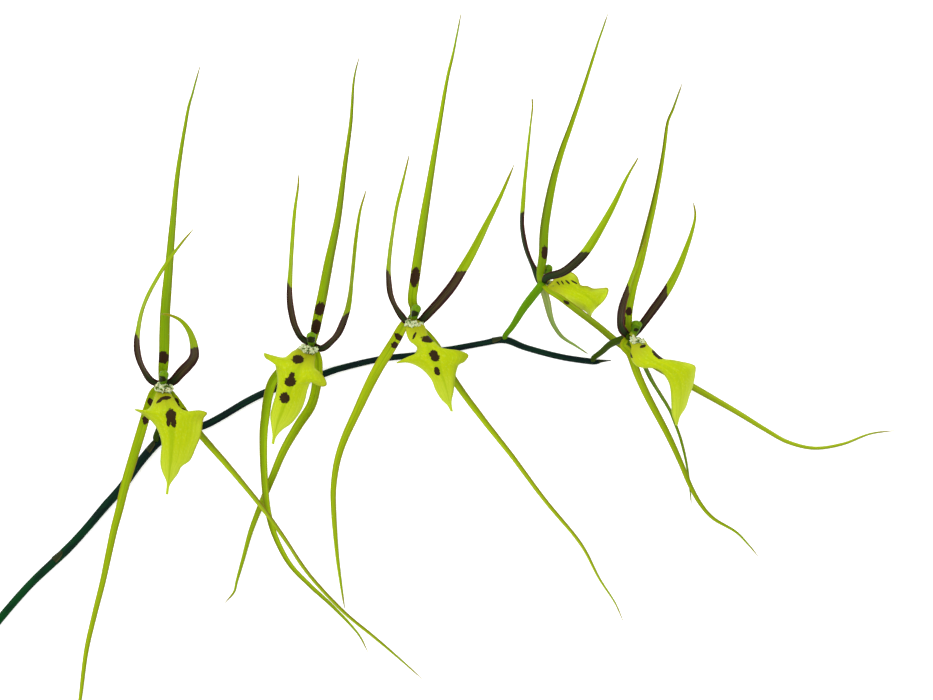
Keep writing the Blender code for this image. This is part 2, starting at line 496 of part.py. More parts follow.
def bract_on_stem(name, index, length, breadth, turn, spread):
    """A small pointed scale that grows from the stem at a joint and hugs it."""
    x, y, radius = STEM_COURSE[index]
    before = STEM_COURSE[index - 1]
    heading = Vector((x - before[0], y - before[1], 0)).normalized()
    out = turned_up(heading, turn)
    side = heading.cross(out)
    joint = Vector((x, y, radius * STEM_LIFT)) - heading * 1.2
    scale = bmesh.new()
    bmesh.ops.create_grid(scale, x_segments=2, y_segments=4, size=1.0)
    for vertex in scale.verts:
        share = (vertex.co.y + 1) / 2
        across = vertex.co.x
        half = breadth / 2 * math.sqrt(max(1.0 - share ** 2, 0.02))
        hug = out * (radius - 0.25 + spread * share ** 2 - 0.5 * radius * across ** 2 * (1 - share))
        vertex.co = joint - heading * length * (1 - share) + hug + side * (half * across)
    bmesh.ops.triangulate(scale, faces=scale.faces)
    node = finish_object(name, scale, bpy.data.materials["stem tissue"])
    thicken(node, BLADE_THICKNESS)
    return node


def make_stem(material):
    """The flower stalk with its joints and dry bracts, grown as one piece."""
    way = [Vector((x, y, radius * STEM_LIFT)) for x, y, radius in STEM_COURSE]
    steps = 60
    course = smooth_course(way, steps)
    reach = [0.0]
    for start, end in zip(way, way[1:]):
        reach.append(reach[-1] + (end - start).length)
    outline = [(place / reach[-1], point[2]) for place, point in zip(reach, STEM_COURSE)]
    radii = [read_outline(outline, index / steps) for index in range(steps + 1)]
    stem = make_tube("stem", course, radii, STEM_SIDES, material, floor=0.0)
    bracts = bpy.data.collections.new("Bracts")
    bpy.context.scene.collection.children.link(bracts)
    for label, index, length, breadth, turn, spread in (
            ("sheath", 5, 13, 4.6, -25, 0.35), ("bract_1", 10, 7, 4.0, -40, 0.7),
            ("bract_2", 16, 6, 3.6, -40, 0.7), ("bract_3", 21, 6, 3.2, -40, 0.7),
            ("bract_4", 24, 5, 3.0, -40, 0.7), ("tip_bract", 28, 3, 1.6, 0, 0.1)):
        bract = bract_on_stem(label, index, length, breadth, turn, spread)
        bpy.context.scene.collection.objects.unlink(bract)
        bracts.objects.link(bract)
    union = stem.modifiers.new("Bracts", "BOOLEAN")
    union.operation = "UNION"
    union.operand_type = "COLLECTION"
    union.collection = bracts
    graph = bpy.context.evaluated_depsgraph_get()
    grown = bpy.data.meshes.new_from_object(stem.evaluated_get(graph))
    stem.modifiers.clear()
    stem.data = grown
    for bract in list(bracts.objects):
        bpy.data.objects.remove(bract, do_unlink=True)
    bpy.data.collections.remove(bracts)
    return stem


def main():
    """Build the spray: the stem, then each bloom from its ovary out."""
    clear_scene()
    stem_tissue = plant_material("stem tissue", (0.02, 0.06, 0.02), 0.5)
    ovary_tissue = plant_material("ovary tissue", (0.1, 0.3, 0.02), 0.45)
    sepal_tissue = plant_material("sepal tissue", (0.35, 0.52, 0.02), 0.45)
    petal_tissue = plant_material("petal tissue", (0.12, 0.12, 0.03), 0.45)
    lip_tissue = plant_material("lip tissue", (0.55, 0.68, 0.06), 0.5)
    column_tissue = plant_material("column tissue", (0.3, 0.5, 0.03), 0.4)
    make_stem(stem_tissue)
    for number in BLOOMS:
        make_ovary(number, ovary_tissue)
        make_column(number, column_tissue)
        make_lip(number, lip_tissue)
    for name, blade in BLADES.items():
        make_blade(name, petal_tissue if blade[0] == "petal" else sepal_tissue)


main()
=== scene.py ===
# %% [markdown]
# # Brassia orchid, a cut spray of five blooms
# This lesson dresses a spider orchid spray. A plain solid model of every sepal, petal, lip, column,
# ovary and of the stem is already there, at its real size. We keep those places and give each part
# its finer shape and its living surface: thin edged blades, veined lips, frilly white keels and the
# dark blotches that make this orchid look like a spider. Lengths are in millimetres until the very
# end, when a mesh is made in metres.

# %% Load the solid model
import math

import bmesh
import bpy
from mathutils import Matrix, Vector, noise


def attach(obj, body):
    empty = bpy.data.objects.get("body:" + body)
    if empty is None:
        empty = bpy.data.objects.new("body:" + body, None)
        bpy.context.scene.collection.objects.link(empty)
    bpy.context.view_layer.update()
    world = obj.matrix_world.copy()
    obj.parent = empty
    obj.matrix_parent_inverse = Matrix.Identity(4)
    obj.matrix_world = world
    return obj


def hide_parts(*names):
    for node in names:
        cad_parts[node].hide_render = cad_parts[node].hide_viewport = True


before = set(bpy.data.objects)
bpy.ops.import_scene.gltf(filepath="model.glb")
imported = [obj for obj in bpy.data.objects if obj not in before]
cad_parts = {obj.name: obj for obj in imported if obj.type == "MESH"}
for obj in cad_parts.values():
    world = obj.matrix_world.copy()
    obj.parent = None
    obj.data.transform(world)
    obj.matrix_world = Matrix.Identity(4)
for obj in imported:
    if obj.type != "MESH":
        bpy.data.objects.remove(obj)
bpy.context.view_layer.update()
print("solid nodes:", len(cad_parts))

# %% [markdown]
# ## The camera
# The spray lies down and the photograph looks straight at it, so the camera hangs above and looks
# down, with +Y at the top of the picture. A long lens from 3 m away keeps the perspective flat, as in
# the photograph. Everything that rises towards the camera still looks a little further out, so we
# also write down that rule: it lets us place a part by where it is seen.

# %% Camera
MM = 0.001
EYE = Vector((25.65, 18.45, 3020.0))
SEEN_HEIGHT = 20.0
SEEN_BREADTH = 419.85
SENSOR = 36.0
FAR_END = 20.0

camera_data = bpy.data.cameras.new("Camera")
camera_data.sensor_width = SENSOR
camera_data.lens = SENSOR * (EYE.z - SEEN_HEIGHT) / SEEN_BREADTH
camera_data.clip_end = FAR_END
camera = bpy.data.objects.new("Camera", camera_data)
camera.location = EYE * MM
bpy.context.scene.collection.objects.link(camera)
bpy.context.scene.camera = camera


def from_view(x, y, height):
    """The place at a height that the camera sees at (x, y) on the plane SEEN_HEIGHT up."""
    nearer = (EYE.z - height) / (EYE.z - SEEN_HEIGHT)
    return Vector((EYE.x + (x - EYE.x) * nearer, EYE.y + (y - EYE.y) * nearer, height))


def to_view(point):
    """Where the camera sees a place, on the plane SEEN_HEIGHT up."""
    further = (EYE.z - SEEN_HEIGHT) / (EYE.z - point.z)
    return Vector((EYE.x + (point.x - EYE.x) * further, EYE.y + (point.y - EYE.y) * further))


print("lens:", round(camera_data.lens, 1), "mm")

# %% [markdown]
# ## Light
# The photograph has light from all round, with hardly a shadow. A white world does most of that. One
# large soft lamp from the upper left adds just enough direction to show which way each blade is folded.

# %% World and lamp
WORLD_STRENGTH = 1.25
LAMP_SIZE = 1.6
LAMP_POWER = 30.0
LAMP_PLACE = (-0.9, 0.9, 1.9)
WHITE = (1.0, 1.0, 1.0, 1.0)

world = bpy.data.worlds.new("Soft studio")
world.use_nodes = True
world.node_tree.nodes["Background"].inputs["Color"].default_value = WHITE
world.node_tree.nodes["Background"].inputs["Strength"].default_value = WORLD_STRENGTH
bpy.context.scene.world = world
bpy.context.scene.view_settings.view_transform = "Standard"

lamp_data = bpy.data.lights.new("Soft lamp", "AREA")
lamp_data.shape = "DISK"
lamp_data.size = LAMP_SIZE
lamp_data.energy = LAMP_POWER
lamp = bpy.data.objects.new("Soft lamp", lamp_data)
lamp.location = LAMP_PLACE
lamp.rotation_euler = Vector(LAMP_PLACE).to_track_quat("Z", "Y").to_euler()
bpy.context.scene.collection.objects.link(lamp)
print("lamp:", LAMP_POWER, "W,", LAMP_SIZE, "m across")

# %% [markdown]
# ## The ground
# The spray lies on bare white, as on a light table. A grid of one cell is floor enough. It glows a
# little, so that the shadow along the stem stays as faint as in the photograph. It isn't part of the
# orchid.

# %% White ground
GROUND_REACH = 3.0
GROUND_TONE = (0.97, 0.97, 0.97, 1.0)
GROUND_ROUGHNESS = 0.9
GROUND_GLOW = 0.3

floor_maker = bmesh.new()
bmesh.ops.create_grid(floor_maker, x_segments=1, y_segments=1, size=GROUND_REACH)
floor_mesh = bpy.data.meshes.new("Floor")
floor_maker.to_mesh(floor_mesh)
floor_maker.free()
floor = bpy.data.objects.new("Floor", floor_mesh)
bpy.context.scene.collection.objects.link(floor)
ground = bpy.data.materials.new("White ground")
ground.use_nodes = True
ground_shader = ground.node_tree.nodes["Principled BSDF"]
ground_shader.inputs["Base Color"].default_value = GROUND_TONE
ground_shader.inputs["Roughness"].default_value = GROUND_ROUGHNESS
ground_shader.inputs["Emission Color"].default_value = WHITE
ground_shader.inputs["Emission Strength"].default_value = GROUND_GLOW
floor.data.materials.append(ground)
print("ground:", 2 * GROUND_REACH, "m wide")

# %% [markdown]
# ## Colours
# Colours are written as 0 to 255, the way a picture shows them. A finish needs them as amounts of
# light instead, and a little dimmer, because the light on the spray is stronger than 1.

# %% Colours
LIGHT_ON_SPRAY = 1.45
BRIGHTEST = 0.95


def tissue(red, green, blue, tone=1.0):
    """A colour as seen in a picture, as the linear colour that a finish needs, times a tone."""
    linear = []
    for part in (red, green, blue):
        share = part / 255
        straight = share / 12.92 if share < 0.04045 else ((share + 0.055) / 1.055) ** 2.4
        linear.append(min(BRIGHTEST, straight * tone / LIGHT_ON_SPRAY))
    return (*linear, 1.0)


print("leaf green as amounts of light:", [round(part, 3) for part in tissue(146, 172, 6)[:3]])

# %% [markdown]
# ## A network of nodes
# A finish is a small network of nodes, and all finishes of this orchid are made of the same few
# moves. We could lay the nodes by hand for each, but a class that knows the moves reads better. It
# reads the place on a surface, does sums on values, turns one into a soft step from 0 to 1, and
# blends two colours.

# %% Networks
class Network:
    """The nodes of one material, with short moves that add to them."""

    def __init__(self, name):
        self.material = bpy.data.materials.new(name)
        self.material.use_nodes = True
        self.tree = self.material.node_tree
        self.shader = self.tree.nodes["Principled BSDF"]

    def add(self, kind, **settings):
        """A node of a kind with its settings."""
        made = self.tree.nodes.new(kind)
        for name, value in settings.items():
            setattr(made, name, value)
        return made

    def feed(self, socket, value):
        """Put a number, a colour or another node's output into a socket."""
        if isinstance(value, bpy.types.NodeSocket):
            self.tree.links.new(value, socket)
        else:
            socket.default_value = value

    def measure(self, kind, output, **settings):
        """The first two parts of the place that a node gives."""
        parts = self.add("ShaderNodeSeparateXYZ")
        self.feed(parts.inputs[0], self.add(kind, **settings).outputs[output])
        return parts.outputs["X"], parts.outputs["Y"]

    def reckon(self, operation, *values):
        """One step of arithmetic on numbers or outputs."""
        made = self.add("ShaderNodeMath", operation=operation)
        for socket, value in zip(made.inputs, values):
            self.feed(socket, value)
        return made.outputs[0]

    def times(self, first, second):
        """Two values multiplied."""
        return self.reckon("MULTIPLY", first, second)

    def plus(self, first, second):
        """Two values added."""
        return self.reckon("ADD", first, second)

    def step(self, value, start, end):
        """0 where a value is at start, 1 where it is at end, eased between."""
        made = self.add("ShaderNodeMapRange", interpolation_type="SMOOTHSTEP")
        self.feed(made.inputs["Value"], value)
        made.inputs["From Min"].default_value = min(start, end)
        made.inputs["From Max"].default_value = max(start, end)
        made.inputs["To Min"].default_value = float(start > end)
        made.inputs["To Max"].default_value = float(start < end)
        return made.outputs["Result"]

    def blend(self, share, first, second):
        """The first colour where share is 0 and the second where it is 1."""
        made = self.add("ShaderNodeMix", data_type="RGBA")
        self.feed(made.inputs["Factor"], share)
        self.feed(made.inputs["A"], first)
        self.feed(made.inputs["B"], second)
        return made.outputs["Result"]


print("a network's moves:", len([name for name in vars(Network) if not name.startswith("_")]))

# %% [markdown]
# ## A skin
# A skin is such a network with living tissue as its start: a little light goes through it. Each sheet
# and tube carries two maps that a skin reads. "Surface" holds real millimetres across and along, for
# blotches and fibres of a true size. "Form" holds the share across, from -1 to 1, and the share
# along, for what follows the outline, such as an edge tint. Colours are laid one over another, as a
# painter would, and noise is stretched along the tissue for fibres and veins.

# %% Skins
SHINE = 0.05
LEAF_GLOW = (0.6, 1.0, 0.2)
LEAF_DEPTH = 0.0008


class Skin(Network):
    """One finish in the making: its network, its colour so far and the measures of a place."""

    def __init__(self, name, roughness, thinness=0.08, shine=SHINE, glow=LEAF_GLOW, depth=LEAF_DEPTH,
                 mapped=True):
        super().__init__(name)
        self.colour = WHITE
        self.shader.inputs["Roughness"].default_value = roughness
        self.shader.inputs["Specular IOR Level"].default_value = shine
        self.shader.inputs["Subsurface Weight"].default_value = thinness
        self.shader.inputs["Subsurface Radius"].default_value = glow
        self.shader.inputs["Subsurface Scale"].default_value = depth
        if mapped:
            self.across, self.along = self.measure("ShaderNodeUVMap", "UV", uv_map="Surface")
            self.side, self.share = self.measure("ShaderNodeUVMap", "UV", uv_map="Form")
            self.edge = self.reckon("ABSOLUTE", self.side)

    def grain(self, fine_across, fine_along, detail=2.0, place=None):
        """Noise that is stretched along the tissue, with its own fineness each way."""
        across, along = place or (self.across, self.along)
        vector = self.add("ShaderNodeCombineXYZ")
        self.feed(vector.inputs["X"], self.times(across, fine_across))
        self.feed(vector.inputs["Y"], self.times(along, fine_along))
        made = self.add("ShaderNodeTexNoise")
        self.feed(made.inputs["Vector"], vector.outputs[0])
        made.inputs["Scale"].default_value = 1.0
        made.inputs["Detail"].default_value = detail
        return made.outputs["Fac"]

    def tint(self, colour, share, strength=1.0):
        """Lay a colour over the skin, by a share and a strength."""
        share = share if strength == 1.0 else self.times(share, strength)
        self.colour = self.blend(share, self.colour, colour)

    def finish(self, relief=None, depth_mm=0.0, strength=1.0):
        """Hand over the colour, let the relief stand out by its depth, and give the finish."""
        self.feed(self.shader.inputs["Base Color"], self.colour)
        if relief is not None:
            bump = self.add("ShaderNodeBump")
            bump.inputs["Strength"].default_value = strength
            bump.inputs["Distance"].default_value = depth_mm * MM
            self.feed(bump.inputs["Height"], relief)
            self.feed(self.shader.inputs["Normal"], bump.outputs["Normal"])
        return self.material


print("a skin adds:", ", ".join(name for name in vars(Skin) if not name.startswith("_")))

# %% [markdown]
# ## Fibres and blotches
# Two things come back on many parts of this flower: fine darker fibres that run along the tissue, and
# dark ragged blotches. A blotch could be an image, but an oval whose edge is frayed by noise keeps
# its sharpness at any distance. It is drawn as seen from above, so its place is read off directly.

# %% Fibres and blotches
FIBRE_ACROSS = 3.4
FIBRE_ALONG = 0.05
FIBRE_DETAIL = 3.0
FIBRE_CONTRAST = (0.44, 0.66)
FIBRE_RELIEF = (0.06, 0.6)
RAGGED_GRAIN = 1.1
RAGGED_REACH = 0.9
BLOTCH_EDGE = (1.53, 1.39)
BLOTCH_MOTTLE = 2.5


def fibre_lines(skin):
    """Fine noise lines that run along the tissue."""
    return skin.grain(FIBRE_ACROSS, FIBRE_ALONG, FIBRE_DETAIL)


def add_fibres(skin, fibre, strength):
    """Fine darker fibres over the colour of a skin."""
    skin.tint(fibre, skin.step(fibre_lines(skin), *FIBRE_CONTRAST), strength)


def blotch(skin, mark):
    """1 inside a ragged oval mark and 0 outside it: (x, y, breadth, length, turn)."""
    centre_east, centre_north, breadth, length, turn = mark
    cosine, sine = math.cos(math.radians(turn)), math.sin(math.radians(turn))
    seen = [skin.reckon("DIVIDE", part, MM) for part in skin.measure("ShaderNodeTexCoord", "Object")]
    aside = skin.reckon("SUBTRACT", seen[0], centre_east)
    ahead = skin.reckon("SUBTRACT", seen[1], centre_north)
    wide = skin.plus(skin.times(aside, cosine), skin.times(ahead, sine))
    long = skin.reckon("SUBTRACT", skin.times(ahead, cosine), skin.times(aside, sine))
    wide = skin.reckon("DIVIDE", wide, breadth / 2)
    long = skin.reckon("DIVIDE", long, length / 2)
    reach = skin.reckon("SQRT", skin.plus(skin.times(wide, wide), skin.times(long, long)))
    ragged = skin.times(skin.grain(RAGGED_GRAIN, RAGGED_GRAIN, FIBRE_DETAIL, seen), RAGGED_REACH)
    return skin.step(skin.plus(reach, ragged), *BLOTCH_EDGE)


def add_marks(skin, marks, dark, light):
    """Mottled blotches over the colour of a skin."""
    for mark in marks:
        mottled = skin.blend(skin.grain(BLOTCH_MOTTLE, BLOTCH_MOTTLE), dark, light)
        skin.tint(mottled, blotch(skin, mark))


print("fibres to a millimetre:", FIBRE_ACROSS)

# %% [markdown]
# ## A sheet of tissue
# Sepals, petals and lips are all one thing: a thin sheet that is thickest along its middle. We start
# from Blender's grid, move every point to its place by a rule, and let a Solidify modifier give it
# flesh, guided by a vertex group that thins it out towards the edges.

# %% Sheets of tissue
FULL_FLESH = 1.0
RIM_POWER = 3
places = {}


def grow_sheet(name, cells_across, cells_along, place_point, thickness, rim):
    """A grid shaped by place_point(share along, -1 to 1 across), which also gives millimetres."""
    sheet = bmesh.new()
    bmesh.ops.create_grid(sheet, x_segments=cells_across, y_segments=cells_along, size=1.0)
    surface = sheet.loops.layers.uv.new("Surface")
    form = sheet.loops.layers.uv.new("Form")
    found = []
    for vertex in sheet.verts:
        across, along = vertex.co.x, (vertex.co.y + 1) / 2
        point, across_mm, along_mm = place_point(along, across)
        vertex.co = point
        found.append((across, along, across_mm, along_mm))
    sheet.verts.index_update()
    for face in sheet.faces:
        for loop in face.loops:
            across, along, across_mm, along_mm = found[loop.vert.index]
            loop[surface].uv = (across_mm, along_mm)
            loop[form].uv = (across, along)
    places[name] = [(to_view(vertex.co), found[vertex.index], vertex.co.copy()) for vertex in sheet.verts]
    piece = finish_piece(name, sheet)
    flesh = piece.vertex_groups.new(name="Flesh")
    for index, (across, along, across_mm, along_mm) in enumerate(found):
        flesh.add([index], FULL_FLESH - abs(across) ** RIM_POWER, "REPLACE")
    thicken = piece.modifiers.new("Thickness", "SOLIDIFY")
    thicken.thickness = thickness * MM
    thicken.offset = 0.0
    thicken.vertex_group = "Flesh"
    thicken.thickness_vertex_group = rim
    return piece


def finish_piece(name, maker):
    """Turn a bmesh in millimetres into a smooth object in metres, at the origin."""
    bmesh.ops.scale(maker, vec=Vector((MM, MM, MM)), verts=maker.verts)
    mesh = bpy.data.meshes.new(name)
    maker.to_mesh(mesh)
    maker.free()
    mesh.shade_smooth()
    piece = bpy.data.objects.new(name, mesh)
    bpy.context.scene.collection.objects.link(piece)
    return piece


def hand_over(piece, node=None):
    """Let a piece ride on the spray and stand in place of its solid, which is hidden."""
    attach(piece, "root")
    if node:
        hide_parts(node)


print("flesh in the middle of a sheet, as a share:", FULL_FLESH)

# %% [markdown]
# ## Finding a place on a sheet
# A blotch is told by where the camera sees it. The sheet may rise towards the camera there, so we look
# up its nearest point and slide the blotch along the line of sight to that height.

# %% Marks
def nearest_place(name, x, y):
    """A goal in the picture, counted from the bloom's seat, and the sheet's point nearest to it."""
    seat = BLOOMS[int(name.split("_")[1])]["seat"]
    goal = Vector((seat[0] + x, seat[1] + y))
    return goal, min(places[name], key=lambda entry: (entry[0] - goal).length)


def put_marks(name, marks):
    """The marks, given by where the camera sees them, moved to their places on the sheet."""
    moved = []
    for x, y, *size in marks:
        goal, (seen, measures, point) = nearest_place(name, x, y)
        place = from_view(goal.x, goal.y, point.z)
        moved.append((place.x, place.y, *size))
    return moved


print("marks are seen on the plane", SEEN_HEIGHT, "mm up")

# %% [markdown]
# ## Curves that a plant would grow
# A blade follows its midline. A few way points are enough if a smooth curve runs through them, and
# evenly spaced points on that curve keep the cells of the mesh even too.

# %% Courses
SUBSTEPS = 12


def smooth_between(before, start, end, after, t):
    """The point at a share t from start to end, on a curve that also heeds the points round them."""
    return 0.5 * (2 * start + (end - before) * t + (2 * before - 5 * start + 4 * end - after) * t * t
                  + (3 * start - before - 3 * end + after) * t ** 3)


def smooth_course(points, count):
    """Evenly spaced points on one smooth curve through the way points."""
    points = [Vector(point) for point in points]
    ends = [2 * points[0] - points[1]] + points + [2 * points[-1] - points[-2]]
    dense = []
    for before, start, end, after in zip(ends, ends[1:], ends[2:], ends[3:]):
        for step in range(SUBSTEPS):
            dense.append(smooth_between(before, start, end, after, step / SUBSTEPS))
    dense.append(points[-1])
    reach = [0.0]
    for start, end in zip(dense, dense[1:]):
        reach.append(reach[-1] + (end - start).length)
    course = []
    place = 0
    for index in range(count + 1):
        goal = reach[-1] * index / count
        while place < len(dense) - 2 and reach[place + 1] < goal:
            place += 1
        step = (goal - reach[place]) / (reach[place + 1] - reach[place])
        course.append(dense[place].lerp(dense[place + 1], step))
    return course


def headings(course):
    """Unit direction of the course at each of its points."""
    found = []
    for index in range(len(course)):
        start = course[max(index - 1, 0)]
        end = course[min(index + 1, len(course) - 1)]
        found.append((end - start).normalized())
    return found


print("steps between two way points:", SUBSTEPS)

# %% [markdown]
# ## Turning about a course
# A blade also turns about its own midline. Its front is told at a few stations, as a turn from
# straight up, and eased from one station to the next. Outlines are read in the same way.

# %% Turns and outlines
def square_to(direction, heading):
    """Unit part of a direction that is square to the heading."""
    return (direction - heading * direction.dot(heading)).normalized()


def turned_up(heading, degrees):
    """The direction nearest to straight up that is square to the heading, turned about it."""
    upward = square_to(Vector((0, 0, 1)), heading)
    side = heading.cross(upward)
    angle = math.radians(degrees)
    return upward * math.cos(angle) + side * math.sin(angle)


def blend_directions(stations, share):
    """Direction at a share of the length, between the (share, direction) stations round it."""
    for (low, start), (high, end) in zip(stations, stations[1:]):
        if share <= high:
            step = (share - low) / (high - low)
            step = step * step * (3 - 2 * step)
            return start.lerp(end, step)
    return stations[-1][1].copy()


def read_outline(outline, share):
    """Value of a (share, value) outline at a share of the length."""
    for (low, start), (high, end) in zip(outline, outline[1:]):
        if share <= high:
            return start + (end - start) * (share - low) / (high - low)
    return outline[-1][1]


print("up, square to a rising course:", turned_up(Vector((0, 0.6, 0.8)), 0).to_tuple(2))

# %% [markdown]
# ## Where the blooms sit
# Each flower has a seat on its ovary, a direction in which it looks, and a direction that is up for
# it. Blooms 1 to 3 look at the camera. Blooms 4 and 5 look to the right, so we see one from behind
# and the other from its side.

# %% Blooms
BLOOMS = {
    1: {"seat": (-110.9, 2.7, 26), "face": (0.12, -0.1, 1), "up": (0.05, 1, 0.1),
        "joint": 10, "ovary": ((-112.6, -15, 11), (-111.6, -6, 17.5), (-111.1, 0.6, 21))},
    2: {"seat": (-43.9, 20.7, 24), "face": (-0.1, -0.1, 1), "up": (0.12, 1, 0.1),
        "joint": 16, "ovary": ((-48.6, 11, 10), (-46, 16, 15.5), (-44.3, 19.6, 19))},
    3: {"seat": (1.6, 34.2, 26), "face": (0.15, -0.12, 1), "up": (0.12, 1, 0.1),
        "joint": 21, "ovary": ((6.6, 24, 10), (3.8, 30, 16), (2.0, 33, 21))},
    4: {"seat": (59.2, 47.7, 36), "face": (0.85, 0.25, -0.42), "up": (-0.3, 1, 0),
        "joint": 24, "ovary": ((46.5, 29.5, 10), (51.4, 37.5, 22), (55.5, 44.6, 32.5))},
    5: {"seat": (98.4, 24.6, 31), "face": (0.9, -0.12, 0.42), "up": (0.12, 1, 0),
        "joint": 27, "ovary": ((86.6, 17.6, 9.5), (90.4, 21, 18), (94.4, 23.6, 26.5))},
}


# How far a flower's own middle sits from the place that its outlines are counted from
HEART = {3: (0.0, -1.8, 0.0)}


def bloom_frame(number):
    """Seat, right, up and face directions of a bloom, as seen by someone looking at its face."""
    bloom = BLOOMS[number]
    face = Vector(bloom["face"]).normalized()
    upward = square_to(Vector(bloom["up"]), face)
    seat = Vector(bloom["seat"]) + Vector(HEART.get(number, (0, 0, 0)))
    return seat, upward.cross(face), upward, face


print("blooms:", len(BLOOMS))

# %% [markdown]
# ## Sepals and petals
# These long blades are what makes a spider orchid. Each one is told by the angle of its root round
# the flower, how it is turned about its own midline, and the way points of that midline, given by
# where the camera sees them from the seat and how high they are above the floor. First come the
# outlines: half the breadth of a blade, as a share, along its length.

# %% Blade outlines
BLADE_THICKNESS = 0.8
RIM_SHARE = 0.45
SURFACE = BLADE_THICKNESS / 2
BREADTH = {"dorsal_sepal": 4.7, "lateral_sepal": 4.8, "petal": 4.7}
BLADE_OUTLINE = {
    "dorsal_sepal": ((0, 0.72), (0.05, 0.95), (0.14, 1), (0.27, 0.92), (0.42, 0.69), (0.55, 0.53),
                     (0.7, 0.4), (0.85, 0.28), (0.97, 0.15), (1, 0.04)),
    "lateral_sepal": ((0, 0.7), (0.05, 0.95), (0.13, 1), (0.22, 0.96), (0.35, 0.8), (0.5, 0.64),
                      (0.7, 0.48), (0.87, 0.32), (0.97, 0.18), (1, 0.04)),
    "even": ((0, 0.5), (0.05, 0.68), (0.13, 0.78), (0.35, 0.8), (0.5, 0.78), (0.7, 0.52),
             (0.87, 0.34), (0.97, 0.18), (1, 0.04)),
    "petal": ((0, 0.66), (0.08, 0.88), (0.25, 1), (0.42, 0.93), (0.6, 0.7), (0.75, 0.48),
              (0.9, 0.27), (0.97, 0.17), (1, 0.04)),
}
BLADES = {}


def add_blades(number, blades):
    """Keep the blades of one bloom under the names of their solids."""
    for part, facts in blades.items():
        BLADES[f"bloom_{number}_{part}"] = facts
    print("bloom", number, "has", len(blades), "blades")


# %% [markdown]
# The first bloom faces us. Its petals rise towards the camera and curl over at their tips, and its
# lateral sepals sink to the floor.

# %% Blades of bloom 1
add_blades(1, {
    "dorsal_sepal": (90, (0, 0, 0), (
        (0.5, 15, 29.5), (1, 33, 31), (2.7, 53.5, 29), (4.5, 74, 24.5), (6.3, 93, 18),
        (9, 111, 10), (11.5, 125, 2.6), (13.2, 131, 0.3), (14.8, 137, 0.3), (16.6, 143.5, 0.3))),
    "petal_left": (160, (-46, -64, -10), (
        (-7.4, 5.2, 31), (-10.2, 11, 34), (-11.3, 17, 37.5), (-10.9, 24, 41), (-8.4, 35.5, 46),
        (-3, 47, 49), (3, 56.7, 49.5), (9.2, 65, 48), (13.5, 70, 46))),
    "petal_right": (25, (0, 0, 0), (
        (8, 5.5, 32), (13.5, 12, 41), (14, 17.5, 49), (12, 24, 57), (8, 29, 62.5),
        (3, 31.5, 65), (-0.5, 32, 66))),
    "lateral_sepal_left": (222, (0, 0, 0), (
        (-6.2, -8.5, 26), (-10.8, -24, 23), (-16.7, -43.7, 18), (-19.4, -55, 15.5),
        (-22.5, -67, 13), (-27, -88, 9), (-31, -104, 6.5), (-34.7, -120.6, 4.2),
        (-37.4, -141.8, 1.8), (-41, -162, 0.4), (-42.8, -173, 0.4))),
    "lateral_sepal_right": (318, (35, 45, 0), (
        (8.5, -10.5, 25), (17, -22, 22.5), (28.4, -35, 19), (38.3, -46.8, 16),
        (46.8, -57.6, 13.5), (54.5, -68.4, 11.5), (65.7, -85, 8), (81, -101.7, 4.6),
        (95, -113.4, 2), (107.6, -124.2, 0.4), (116.6, -132.3, 0.4))),
})

# %% [markdown]
# The second bloom faces us too, with its lateral sepals crossed below it.

# %% Blades of bloom 2
add_blades(2, {
    "dorsal_sepal": (84, (0, 0, 0), (
        (2.9, 13.5, 27.5), (4.8, 22.5, 29), (7.7, 37.8, 28.5), (11.7, 57.2, 25),
        (14.6, 78.8, 19), (16.2, 90.5, 14.5), (17.6, 101.3, 10.5), (18.9, 119.3, 3.5),
        (21.2, 129.6, 0.4))),
    "petal_left": (148, (-42, -58, -10), (
        (-6.3, 6.4, 29), (-8.3, 12, 31.5), (-9.6, 21.6, 36), (-9.3, 32.4, 39.5), (-8.6, 46, 41),
        (-7.7, 60, 40), (-6.3, 70.7, 38), (-5.9, 77, 36.5))),
    "petal_right": (-8, (46, 66, 10), (
        (8.6, 2.0, 29), (12.0, 6.3, 32), (15, 14, 37), (16.6, 21.6, 41), (17.9, 32.4, 44.5),
        (19.4, 46, 46), (21.6, 60, 45), (24.3, 69.3, 43))),
    "lateral_sepal_left": (212, (0, 0, 0), (
        (-10.5, -8, 23), (-17.2, -15.6, 20), (-19.6, -23, 17.5), (-20.9, -31.5, 15),
        (-21.8, -41, 12.5), (-21.6, -56.3, 9.5), (-20.3, -71.6, 7.5), (-17.1, -84.6, 6),
        (-10.4, -98, 4.5), (-1.1, -108, 3), (9.7, -118, 1.4), (20.5, -129.6, 0.4),
        (25.2, -138.2, 0.4))),
    "lateral_sepal_right": (300, (30, 0, 0), (
        (2.8, -9.5, 21), (2.4, -18, 18), (0, -27, 15), (-5.9, -36, 12), (-12.6, -47.3, 8.5),
        (-18, -59.9, 5), (-23, -72, 2.6), (-27.5, -83.7, 1.4), (-31, -96.3, 0.8),
        (-33.8, -106.2, 0.4), (-35.1, -111.2, 0.4), (-39.2, -116, 0.4))),
})

# %% [markdown]
# The third bloom spreads its right petal and both lateral sepals wide.

